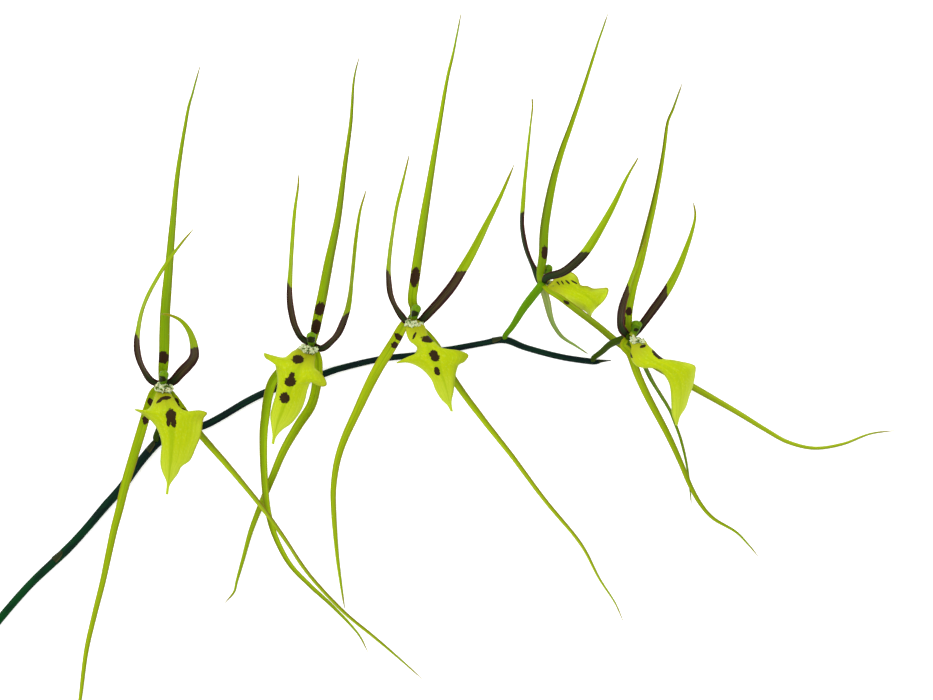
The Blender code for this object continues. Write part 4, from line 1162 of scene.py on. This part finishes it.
# %% Grow the lips
def grow_lip(number):
    """One lip, shaped through its ribs, with its sides rolled back and its margin waved."""
    seat = Vector(BLOOMS[number]["seat"])
    ribs = LIP_RIBS[number]
    lefts = [Vector((seat.x + rib[0], seat.y + rib[1], rib[4])) for rib in ribs]
    middles = [Vector((seat.x + rib[2], seat.y + rib[3], rib[4])) for rib in ribs]
    rights = [Vector((seat.x + rib[5], seat.y + rib[6], rib[4])) for rib in ribs]
    back = (lefts[0] + rights[0] - middles[-1] * 2).normalized()
    steps = len(ribs) - 1
    lengths = [0.0]
    for start, end in zip(middles, middles[1:]):
        lengths.append(lengths[-1] + (end - start).length)

    def place_point(share, across):
        place = share * steps
        middle = through(middles, place)
        which = 0 if across < 0 else 1
        edge = through((lefts, rights)[which], place)
        width = (edge - middle).length
        roll = math.radians(LIP_ROLL[number][which])
        turn = roll * abs(across)
        drop = (1 - math.cos(turn)) / (1 - math.cos(roll))
        point = middle.lerp(edge, math.sin(turn) / math.sin(roll))
        point.z = middle.z - LIP_FALL[number][which] * min(width, FALL_REACH) * drop
        near_point = math.exp(-((place - BOW_RIB) / BOW_SPREAD) ** 2)
        point += back * (LIP_BOW[number][which] * math.sin(math.pi * abs(across)) * near_point)
        ripple = noise.noise(Vector((place * WAVES_PER_RIB, 7.0 * number + 2 * which, 0.0)))
        point.z += LIP_EDGE_WAVE * ripple * across ** 2 * min(1.0, width / WAVE_FULL_AT)
        index = min(int(place), steps - 1)
        along_mm = lengths[index] + (lengths[index + 1] - lengths[index]) * (place - index)
        return point, math.copysign(width * abs(across), across), along_mm

    cells_along = steps * LIP_CELLS_PER_RIB
    name = f"bloom_{number}_lip"
    return grow_sheet(name, LIP_CELLS_ACROSS, cells_along, place_point, LIP_THICKNESS, LIP_RIM_SHARE)


lips = {number: grow_lip(number) for number in LIP_RIBS}
for number, lip in lips.items():
    hand_over(lip, f"bloom_{number}_lip")
print("lips:", len(lips))

# %% [markdown]
# ## Colours and spots of the lips
# Bright yellow-green, a deeper line down the middle, pale margins and a pale tail, and the big
# chocolate spots of this orchid. Spots are written as the blotches of the sepals are.

# %% Lip colours and spots
LIP_BODY = (186, 202, 4)
LIP_PALE = (200, 216, 62)
LIP_VEIN = (158, 184, 2)
LIP_THROAT_SHADE = (166, 172, 24)
LIP_POINT_SHADE = tissue(156, 166, 2)
LIP_SHADE = tissue(130, 152, 2)
SPOT_DARK = tissue(38, 30, 8)
SPOT_LIGHT = tissue(62, 44, 18)
LIP_SHADED_SIDE = {1: -1, 2: -1, 3: 1, 4: 1, 5: -1}
# How much each lip's colours are lightened; the fourth lip is lightened most, as painted light on its back,
# which is in shade.
LIP_PAINTED_LIGHT = {1: 0.97, 2: 1.0, 3: 0.98, 4: 1.42, 5: 1.05}
LIP_MIDDLE = {1: 0.7, 2: 0.7, 3: 0.55, 4: 0.2, 5: 0.25}
LIP_MARKS = {
    1: ((-1.3, -6.9, 1.4, 3.8, -52), (1.4, -5.8, 1.7, 4.6, -88), (3.6, -13.9, 4.5, 6.4, 0),
        (2.4, -16.7, 2.0, 3.9, 0), (4.8, -17.0, 2.4, 4.2, 0)),
    2: ((-6.3, -6.4, 5.3, 4.0, 0), (-9.8, -16.5, 5.2, 4.4, 0), (-9.1, -14.0, 2.6, 3.8, -20),
        (-12.3, -23.8, 4.6, 4.9, 0)),
    3: ((6.7, -10.9, 5.9, 3.1, -8), (9.2, -17.6, 3.9, 3.6, 0), (10.0, -19.2, 4.0, 3.4, 0),
        (10.8, -25.3, 2.4, 4.1, 20), (0.6, -9.3, 1.1, 3.4, -25)),
    4: ((7.6, 0.9, 0.7, 2.2, 40), (9.6, 1.1, 0.7, 2.2, 35), (12.0, 1.3, 0.8, 2.8, 50),
        (14.9, 1.3, 0.8, 3.4, 60)),
    5: ((6.6, -4.5, 1.4, 3.0, -70), (13.2, -8.4, 2.3, 6.0, 52), (0.8, -7.9, 1.1, 4.0, 30)),
}
print("spots:", sum(len(marks) for marks in LIP_MARKS.values()))

# %% [markdown]
# ## The skin of the lips
# Veins that fan out with the lip come from noise that is read in shares of the outline and not in
# millimetres, so they spread where the lip spreads. The same veins stand out a little as relief.

# %% Lip finish
LIP_ROUGHNESS = 0.45
LIP_THINNESS = 0.18
VEINS_ACROSS = 11.0
VEINS_ALONG = 1.6
VEIN_RELIEF = (0.08, 0.5)


def lay_lip_veins(skin, number):
    """The tones of a lip with its pale margins, flecks, veins, middle line and painted shade in its throat.
    """
    # Painted light: each lip's colours are lightened by their own amount.
    tone = LIP_PAINTED_LIGHT[number]
    pale, vein = tissue(*LIP_PALE, tone), tissue(*LIP_VEIN, tone)
    veins = skin.grain(VEINS_ACROSS, VEINS_ALONG, FIBRE_DETAIL, (skin.side, skin.share))
    veins = skin.step(veins, 0.42, 0.64)
    skin.colour = tissue(*LIP_BODY, tone)
    skin.tint(pale, skin.step(skin.edge, 0.45, 1.0), 0.5)
    skin.tint(pale, skin.step(skin.share, 0.6, 0.9), 0.8)
    skin.tint(pale, skin.step(skin.grain(1.6, 0.8, 4.0), 0.52, 0.66), 0.6)
    skin.tint(vein, veins, 0.42)
    skin.tint(vein, skin.step(skin.edge, 0.16, 0.03), LIP_MIDDLE[number])
    # Painted shade in the throat, under the keels.
    skin.tint(tissue(*LIP_THROAT_SHADE, tone), skin.step(skin.share, 0.26, 0.06))
    return veins


def lip_finish(number):
    """The finish of one lip with its own spots."""
    name = f"bloom_{number}_lip"
    skin = Skin(name + "_skin", LIP_ROUGHNESS, LIP_THINNESS)
    veins = lay_lip_veins(skin, number)
    turned = skin.step(skin.times(skin.side, LIP_SHADED_SIDE[number]), 0.5, 0.85)
    skin.tint(LIP_SHADE, skin.times(turned, skin.step(skin.share, 0.25, 0.5)), 0.5)
    # Painted shade on the side points of the lip.
    point = skin.times(skin.step(skin.share, 0.2, 0.3), skin.step(skin.share, 0.56, 0.44))
    skin.tint(LIP_POINT_SHADE, skin.times(point, skin.step(skin.edge, 0.4, 0.9)), 0.55)
    skin.tint(SEPAL_EDGE, skin.step(skin.edge, 0.92, 1.0), 0.6)
    add_marks(skin, put_marks(name, LIP_MARKS[number]), SPOT_DARK, SPOT_LIGHT)
    return skin.finish(veins, *VEIN_RELIEF)


for number, lip in lips.items():
    lip.data.materials.append(lip_finish(number))
print("finished lips:", len(lips))

# %% [markdown]
# ## Keels
# Where the lip meets the column stands a small frilly cushion of two white keels. Each is a few soft
# lumps, made from spheres that noise has crumpled, so it catches the light like the real crest.

# %% Keels
# Each lump: how far aside, up and ahead of the seat, and its radius
KEEL_LUMPS = (
    (-2.4, -0.9, 3.4, 1.5), (-1.0, -1.9, 4.9, 1.7), (0.2, -0.7, 4.6, 1.2), (1.9, -2.0, 5.0, 1.7),
    (3.2, -1.3, 4.2, 1.4), (-3.0, -2.0, 4.0, 1.2),
)
KEEL_RUN = {5: ((-2.0, -1.0, 3.4, 1.3), (-2.5, -1.3, 6.0, 1.3), (-3.1, -1.6, 8.4, 1.1))}
KEEL_SHIFT = {1: (0.4, 0.7, 0), 2: (-0.8, 0.2, 0), 3: (0, -0.6, 0), 4: (-0.6, 0.4, -4)}
KEEL_CORE = 0.85
KEEL_FRILL = 0.62
FRILL_GAIN = 1.6
FRILL_SIZE = 0.75


def grow_keels(number):
    """The frilly crest of one lip."""
    seat, right, upward, face = bloom_frame(number)
    shift = Vector(KEEL_SHIFT.get(number, (0, 0, 0)))
    crest = bmesh.new()
    for aside, ahead, rise, radius in KEEL_LUMPS + KEEL_RUN.get(number, ()):
        lump = bmesh.ops.create_icosphere(crest, subdivisions=4, radius=radius)["verts"]
        centre = seat + right * aside + upward * ahead + face * rise + shift
        for vertex in lump:
            out = vertex.co.normalized()
            ruffle = noise.noise(vertex.co / FRILL_SIZE + centre)
            vertex.co = centre + vertex.co * KEEL_CORE + out * (KEEL_FRILL * ruffle * FRILL_GAIN)
    return finish_piece(f"bloom_{number}_keels", crest)


print("lumps of a keel:", len(KEEL_LUMPS))

# %% [markdown]
# The keels are white-cream with green in their folds. They have no map of their own, so a speckle
# from the place in space is enough for them.

# %% Keel finish
KEEL_CREAM = tissue(214, 222, 172)
KEEL_FOLD = tissue(84, 112, 24)
KEEL_GLOW = (1.0, 0.2, 0.1)
KEEL_DEPTH = 0.001
KEEL_ROUGHNESS = 0.5
KEEL_THINNESS = 0.2
SPECKLES_PER_METRE = 620.0


def keel_finish():
    """White-cream tissue with green in its folds."""
    skin = Skin("keel_skin", KEEL_ROUGHNESS, KEEL_THINNESS, glow=KEEL_GLOW, depth=KEEL_DEPTH, mapped=False)
    speckle = skin.add("ShaderNodeTexNoise")
    skin.feed(speckle.inputs["Vector"], skin.add("ShaderNodeTexCoord").outputs["Object"])
    speckle.inputs["Scale"].default_value = SPECKLES_PER_METRE
    speckle.inputs["Detail"].default_value = 2.0
    skin.colour = KEEL_CREAM
    skin.tint(KEEL_FOLD, skin.step(speckle.outputs["Fac"], 0.48, 0.62))
    return skin.finish()


keel_skin = keel_finish()
for number in BLOOMS:
    keels = grow_keels(number)
    keels.data.materials.append(keel_skin)
    hand_over(keels)
print("keels:", len(BLOOMS))

# %% [markdown]
# ## Round parts
# Columns, ovaries and the stem are round in section, so they share one way of growing: a cylinder cut
# into rings, each ring moved to its place on a course. The same two maps are kept on it.

# %% Tubes
SMALLEST_TURN = 0.5


def map_tube(tube, course, radii, steps):
    """Lay the two maps on a tube that is still a straight cylinder of radius and length 1."""
    surface = tube.loops.layers.uv.new("Surface")
    form = tube.loops.layers.uv.new("Form")
    reach = [0.0]
    for start, end in zip(course, course[1:]):
        reach.append(reach[-1] + (end - start).length)
    for face in tube.faces:
        corners = [(round((loop.vert.co.z + 0.5) * steps), math.atan2(loop.vert.co.y, loop.vert.co.x))
                   for loop in face.loops]
        angles = [angle for index, angle in corners]
        wraps = max(angles) - min(angles) > math.pi
        for loop, (index, angle) in zip(face.loops, corners):
            angle = angle + 2 * math.pi if wraps and angle < 0 else angle
            loop[surface].uv = (angle * max(radii[index], SMALLEST_TURN), reach[index])
            loop[form].uv = (angle / math.pi, index / steps)


def grow_tube(name, course, radii, sides, shape=None, floor_height=None):
    """A closed round piece on a course; shape(share, angle) changes its reach."""
    tube = bmesh.new()
    steps = len(course) - 1
    bmesh.ops.create_cone(tube, cap_ends=True, segments=sides, radius1=1.0, radius2=1.0, depth=1.0)
    lengthwise = [edge for edge in tube.edges if abs(edge.verts[0].co.z - edge.verts[1].co.z) > 0.5]
    bmesh.ops.subdivide_edges(tube, edges=lengthwise, cuts=steps - 1, use_grid_fill=True)
    map_tube(tube, course, radii, steps)
    directions = headings(course)
    outward = square_to(Vector((0, 0, 1)), directions[0])
    outwards = []
    for heading in directions:
        outward = square_to(outward, heading)
        outwards.append(outward)
    for vertex in tube.verts:
        index = round((vertex.co.z + 0.5) * steps)
        angle = math.atan2(vertex.co.y, vertex.co.x)
        side = directions[index].cross(outwards[index])
        radius = radii[index] * (shape(index / steps, angle) if shape else 1.0)
        vertex.co = course[index] + (outwards[index] * math.cos(angle) + side * math.sin(angle)) * radius
        if floor_height is not None:
            vertex.co.z = max(vertex.co.z, floor_height)
    return finish_piece(name, tube)


print("maps on each round part: Surface and Form")

# %% [markdown]
# ## Columns
# The column is the short green post in the middle of the flower. It leans over the lip and ends in a
# rounded cap, with a hollow below the cap, whose shade is painted on, and a touch of yellow at its
# foot. It is a tube on a short course, and its outline makes the neck and the cap.

# %% Columns
COLUMN_RADIUS = 1.9
COLUMN_STEPS = 36
COLUMN_SIDES = 28
COLUMN_LEAN = {1: 2.6, 2: 1.7, 3: 2.6, 4: 3.3, 5: 3.0}
COLUMN_REACH = {1: 1, 2: 1, 3: 1, 4: 0.78, 5: 0.3}
COLUMN_SWELL = {1: 1.1, 2: 1.1, 3: 1.1, 4: 1.0, 5: 1.25}
COLUMN_OUTLINE = ((0, 0.62), (0.2, 0.72), (0.4, 0.8), (0.55, 0.9), (0.66, 0.88), (0.72, 1.0),
                  (0.84, 1.0), (0.92, 0.8), (0.97, 0.5), (1, 0.15))

# Its foot ahead of and above the seat, then each way point: ahead, up, and its share of the lean
COLUMN_FOOT = (1.6, 0.35)
COLUMN_WAY = ((2.4, 0.9, 0.3), (4.6, 2.4, 0.7), (6.0, 4.2, 1.0))


def grow_column(number):
    """One column with its cap."""
    seat, right, upward, face = bloom_frame(number)
    foot = seat + face * COLUMN_FOOT[0] + upward * COLUMN_FOOT[1]
    lean, out = COLUMN_LEAN[number], face * COLUMN_REACH[number]
    way = [foot]
    for ahead, rise, share in COLUMN_WAY:
        way.append(foot + out * ahead + upward * (rise + lean * share))
    widest = COLUMN_RADIUS * COLUMN_SWELL[number]
    radii = [widest * read_outline(COLUMN_OUTLINE, step / COLUMN_STEPS) for step in range(COLUMN_STEPS + 1)]
    return grow_tube(f"bloom_{number}_column", smooth_course(way, COLUMN_STEPS), radii, COLUMN_SIDES)


print("way points of a column:", 1 + len(COLUMN_WAY))

# %% [markdown]
# The hollow below the cap isn't modelled; its shade is painted on as a dark blotch. The fourth flower turns
# its back to us, so it has none.

# %% Column finish
HOLLOWS = {1: (-0.1, 2.8, 4.6, 2.6, 0), 2: (-0.2, 2.4, 4.2, 2.8, 0), 3: (0.4, 2.4, 4.2, 2.6, 0),
           5: (3.2, 2.9, 2.4, 1.6, 0)}
COLUMN_ROUGHNESS = 0.38
DAPPLE_RELIEF = (0.1, 0.4)
COLUMN_GREEN = tissue(84, 124, 4)
COLUMN_DAPPLE = tissue(58, 96, 3)
CAP_GREEN = tissue(106, 146, 8)
FOOT_YELLOW = tissue(170, 180, 40)
HOLLOW_SHADE = tissue(34, 40, 6)


def column_finish(number):
    """Green with a yellow-green cap, painted shade for the hollow in front and a yellow foot."""
    seat = bloom_frame(number)[0]
    skin = Skin(f"bloom_{number}_column_skin", COLUMN_ROUGHNESS)
    dapple = skin.grain(0.9, 0.9, FIBRE_DETAIL)
    skin.colour = COLUMN_GREEN
    skin.tint(CAP_GREEN, skin.step(skin.share, 0.68, 0.74))
    skin.tint(FOOT_YELLOW, skin.step(skin.share, 0.3, 0.05))
    skin.tint(COLUMN_DAPPLE, skin.step(dapple, 0.4, 0.7), 0.4)
    # Painted shade where the hollow below the cap would be.
    if number in HOLLOWS:
        x, y, *size = HOLLOWS[number]
        skin.tint(HOLLOW_SHADE, blotch(skin, (seat.x + x, seat.y + y, *size)))
    return skin.finish(dapple, *DAPPLE_RELIEF)


for number in BLOOMS:
    column = grow_column(number)
    column.data.materials.append(column_finish(number))
    hand_over(column, f"bloom_{number}_column")
print("columns:", len(BLOOMS))

# %% [markdown]
# ## The stem's course
# The stem lies on the floor and is thicker at its joints, where the flowers branch off. Each point
# here is a place on it and its radius there.

# %% Stem course
STEM_STEPS = 320
STEM_SIDES = 24
STEM_LIFT = 0.96
STEM_COURSE = (
    (-218, -144.5, 1.85), (-208.6, -132.8, 1.85), (-196.4, -117, 1.85), (-184.3, -101.7, 1.8),
    (-171.2, -86.9, 1.8), (-155.9, -72.5, 2.0), (-147.4, -63.4, 1.85), (-137.9, -52.2, 2.0),
    (-130.3, -43.6, 2.05), (-122.6, -32.9, 2.0), (-113.6, -22.8, 2.1), (-105.5, -19.2, 1.9),
    (-93.4, -15.8, 1.7), (-85.3, -11.7, 1.65), (-74, -5, 1.65), (-64.1, -0.2, 1.65),
    (-51.5, 4.2, 1.8), (-40.3, 7.2, 1.6), (-31.3, 10.2, 1.5), (-13.3, 14.4, 1.4),
    (1.6, 16, 1.45), (9.2, 17.4, 1.6), (19.1, 18.9, 1.4), (33.5, 21.6, 1.35), (43, 23, 1.6),
    (52.9, 19.4, 1.4), (68.6, 15.3, 1.4), (83, 13.2, 1.4), (86, 13.4, 0.9),
)


def grow_stem():
    """The flower stalk with its joints."""
    way = [Vector((x, y, radius * STEM_LIFT)) for x, y, radius in STEM_COURSE]
    reach = [0.0]
    for start, end in zip(way, way[1:]):
        reach.append(reach[-1] + (end - start).length)
    outline = [(place / reach[-1], point[2]) for place, point in zip(reach, STEM_COURSE)]
    course = smooth_course(way, STEM_STEPS)
    radii = [read_outline(outline, index / STEM_STEPS) for index in range(STEM_STEPS + 1)]
    return grow_tube("stem_stalk", course, radii, STEM_SIDES, floor_height=0.0)


print("points of the stem's course:", len(STEM_COURSE))

# %% [markdown]
# ## Ovaries
# The ovary behind each flower is a thickened, faintly ribbed stalk. It leaves the stem at a joint,
# follows its own way points and widens into the receptacle, the small knob that carries the flower.

# %% Ovaries
PEDICEL_RADIUS = 1.25
PEDICEL_START = 0.6
PEDICEL_IN = 0.5
PEDICEL_RISE = 2.0
OVARY_RADIUS = {1: 1.75, 2: 1.75, 3: 1.75, 4: 2.05, 5: 1.75}
OVARY_STEPS = 60
FULL_RADIUS_STEP = 42
OVARY_SIDES = 30
OVARY_RIBS = 3
RIB_DEPTH = 0.1
BEHIND_SEAT = (4.0, 1.2)

# The receptacle: places before the seat, and the share of its radius there
RECEPTACLE_RADIUS = 1.85
RECEPTACLE = ((-0.6, 1.0), (0.5, 1.0), (0.9, 0.7))


def grow_ovary(number):
    """Pedicel and ribbed ovary, from the stem up to the receptacle behind the flower."""
    bloom = BLOOMS[number]
    x, y, stem_radius = STEM_COURSE[bloom["joint"]]
    before, after = STEM_COURSE[bloom["joint"] - 1], STEM_COURSE[bloom["joint"] + 1]
    heading = Vector((after[0] - before[0], after[1] - before[1], 0)).normalized()
    joint = Vector((x, y, stem_radius * STEM_LIFT))
    seat, right, upward, face = bloom_frame(number)
    points = [Vector(point) for point in bloom["ovary"]]
    away = square_to(points[0] - joint, heading)
    start = joint + away * (stem_radius + PEDICEL_START - PEDICEL_IN)
    toward = (seat - points[1]).normalized() if number in FIRST_FRONT else face
    way = [start, start + away * PEDICEL_RISE] + points[:-1]
    way += [seat - toward * distance for distance in BEHIND_SEAT]
    swell = OVARY_RADIUS[number] - PEDICEL_RADIUS
    course = smooth_course(way, OVARY_STEPS)
    radii = [PEDICEL_RADIUS + swell * min(1.0, step / FULL_RADIUS_STEP) for step in range(OVARY_STEPS + 1)]
    course += [seat + toward * place for place, share in RECEPTACLE]
    radii += [RECEPTACLE_RADIUS * share for place, share in RECEPTACLE]

    def ribbed(share, angle):
        return 1 - RIB_DEPTH * (1 + math.cos(OVARY_RIBS * angle)) / 2

    return grow_tube(f"bloom_{number}_ovary", course, radii, OVARY_SIDES, ribbed)


print("ribs on an ovary:", OVARY_RIBS)

# %% [markdown]
# ## Skins of the round parts
# Ovaries are a lively green. The stem is smooth and nearly black-green, and turns greener towards its
# cut end. Seen at a low angle, a glossy tube gets a grey rim, so both have very little shine.

# %% Stem and ovary finishes
OVARY_GREENS = {1: (50, 72, 10), 2: (84, 130, 8), 3: (84, 130, 8), 4: (98, 148, 8), 5: (54, 76, 4)}
OVARY_SHADE = 0.72
OVARY_ROUGHNESS = 0.4
OVARY_SHINE = 0.008
OVARY_RELIEF = (0.1, 0.5)
STEM_ROUGHNESS = 0.34
STEM_SHINE = 0.012
STEM_RELIEF = (0.1, 0.4)
CUT_END_GREEN = tissue(10, 66, 26)
STEM_DARK = tissue(14, 32, 30)
STEM_STREAK = tissue(24, 62, 34)
STEM_PATCH = tissue(18, 20, 30)


def ovary_finish(number):
    """A lively green with faint darker ribs."""
    shade = tissue(*(part * OVARY_SHADE for part in OVARY_GREENS[number]))
    skin = Skin(f"bloom_{number}_ovary_skin", OVARY_ROUGHNESS, shine=OVARY_SHINE)
    skin.colour = tissue(*OVARY_GREENS[number])
    add_fibres(skin, shade, 0.6)
    skin.tint(shade, skin.step(skin.share, 0.2, 0.0), 0.5)
    return skin.finish(skin.grain(2.0, 0.1), *OVARY_RELIEF)


def stem_finish():
    """Near-black green that turns greener towards the cut end."""
    skin = Skin("stem_skin", STEM_ROUGHNESS, 0.0, STEM_SHINE)
    skin.colour = CUT_END_GREEN
    skin.tint(STEM_DARK, skin.step(skin.share, 0.12, 0.42))
    streaks = skin.step(skin.grain(1.2, 0.04, FIBRE_DETAIL), 0.42, 0.66)
    skin.tint(STEM_STREAK, streaks, 0.6)
    skin.tint(STEM_PATCH, skin.step(skin.grain(0.3, 0.08), 0.46, 0.62), 0.5)
    return skin.finish(streaks, *STEM_RELIEF)


for number in BLOOMS:
    ovary = grow_ovary(number)
    ovary.data.materials.append(ovary_finish(number))
    hand_over(ovary, f"bloom_{number}_ovary")
stem = grow_stem()
stem.data.materials.append(stem_finish())
hand_over(stem, "stem")
print("round parts:", 2 * len(BLOOMS) + 1)

# %% [markdown]
# ## Bracts
# At each joint sits a small dry scale, pointed and pressed to the stem. It is a sheet too, wrapped
# part of the way round the stem. The one at the tip points forward and tapers evenly.

# %% Bracts
# Each bract: its point on the stem's course, length, breadth, turn about the stem and how it opens
BRACTS = {
    "sheath": (5, 5.5, 3.4, -25, 0.4), "bract_1": (10, 5.5, 3.6, -40, 0.8),
    "bract_2": (16, 5, 3.3, -40, 0.8), "bract_3": (21, 5, 3.0, -40, 0.8),
    "bract_4": (24, 4.5, 3.0, -40, 0.9), "tip_bract": (28, 6.2, 1.7, 0, -0.3),
}
BRACT_THICKNESS = 0.5
BRACT_RIM_SHARE = 0.4
BRACT_CELLS = (10, 24)
BRACT_BACK = 1.2
BRACT_GAP = 0.1
BRACT_WRAP = 0.4
TIP_TAPER = 0.97
BRACT_ROUNDING = 2.2
SMALLEST_END = 0.004


def grow_bract(label):
    """A small pointed scale that grows from the stem at a joint and hugs it."""
    index, length, breadth, turn, spread = BRACTS[label]
    x, y, radius = STEM_COURSE[index]
    before = STEM_COURSE[index - 1]
    heading = Vector((x - before[0], y - before[1], 0)).normalized()
    out = turned_up(heading, turn)
    side = heading.cross(out)
    joint = Vector((x, y, radius * STEM_LIFT)) - heading * BRACT_BACK
    forward = label == "tip_bract"
    start = 0.0 if forward else -length

    def place_point(share, across):
        rounded = math.sqrt(max(1.0 - share ** BRACT_ROUNDING, SMALLEST_END))
        half = breadth / 2 * (1.0 - TIP_TAPER * share if forward else rounded)
        hug = out * (radius + BRACT_GAP + spread * share ** 2 - BRACT_WRAP * radius * across ** 2)
        point = joint + heading * (start + length * share) + hug + side * (half * across)
        return point, half * across, length * share

    return grow_sheet(label, *BRACT_CELLS, place_point, BRACT_THICKNESS, BRACT_RIM_SHARE)


print("bracts:", len(BRACTS))

# %% [markdown]
# A bract is dry, olive-brown and finely lined, with a straw-coloured edge. It has no relief, because
# it is only a few millimetres long.

# %% Bract finish
BRACT_ROUGHNESS = 0.55
BRACT_BROWN = tissue(44, 54, 26)
BRACT_LINE = tissue(30, 30, 16)
BRACT_EDGE = tissue(84, 76, 42)


def bract_finish():
    """Dry olive-brown tissue with fine lines."""
    skin = Skin("bract_skin", BRACT_ROUGHNESS)
    skin.colour = BRACT_BROWN
    add_fibres(skin, BRACT_LINE, 0.8)
    skin.tint(BRACT_EDGE, skin.step(skin.edge, 0.6, 1.0), 0.7)
    return skin.finish()


bract_skin = bract_finish()
for label in BRACTS:
    bract = grow_bract(label)
    bract.data.materials.append(bract_skin)
    hand_over(bract)
print("bracts on the stem:", len(BRACTS))

# %% [markdown]
# ## Check the size and finish
# The dressed spray must fill the same space as the solid one.
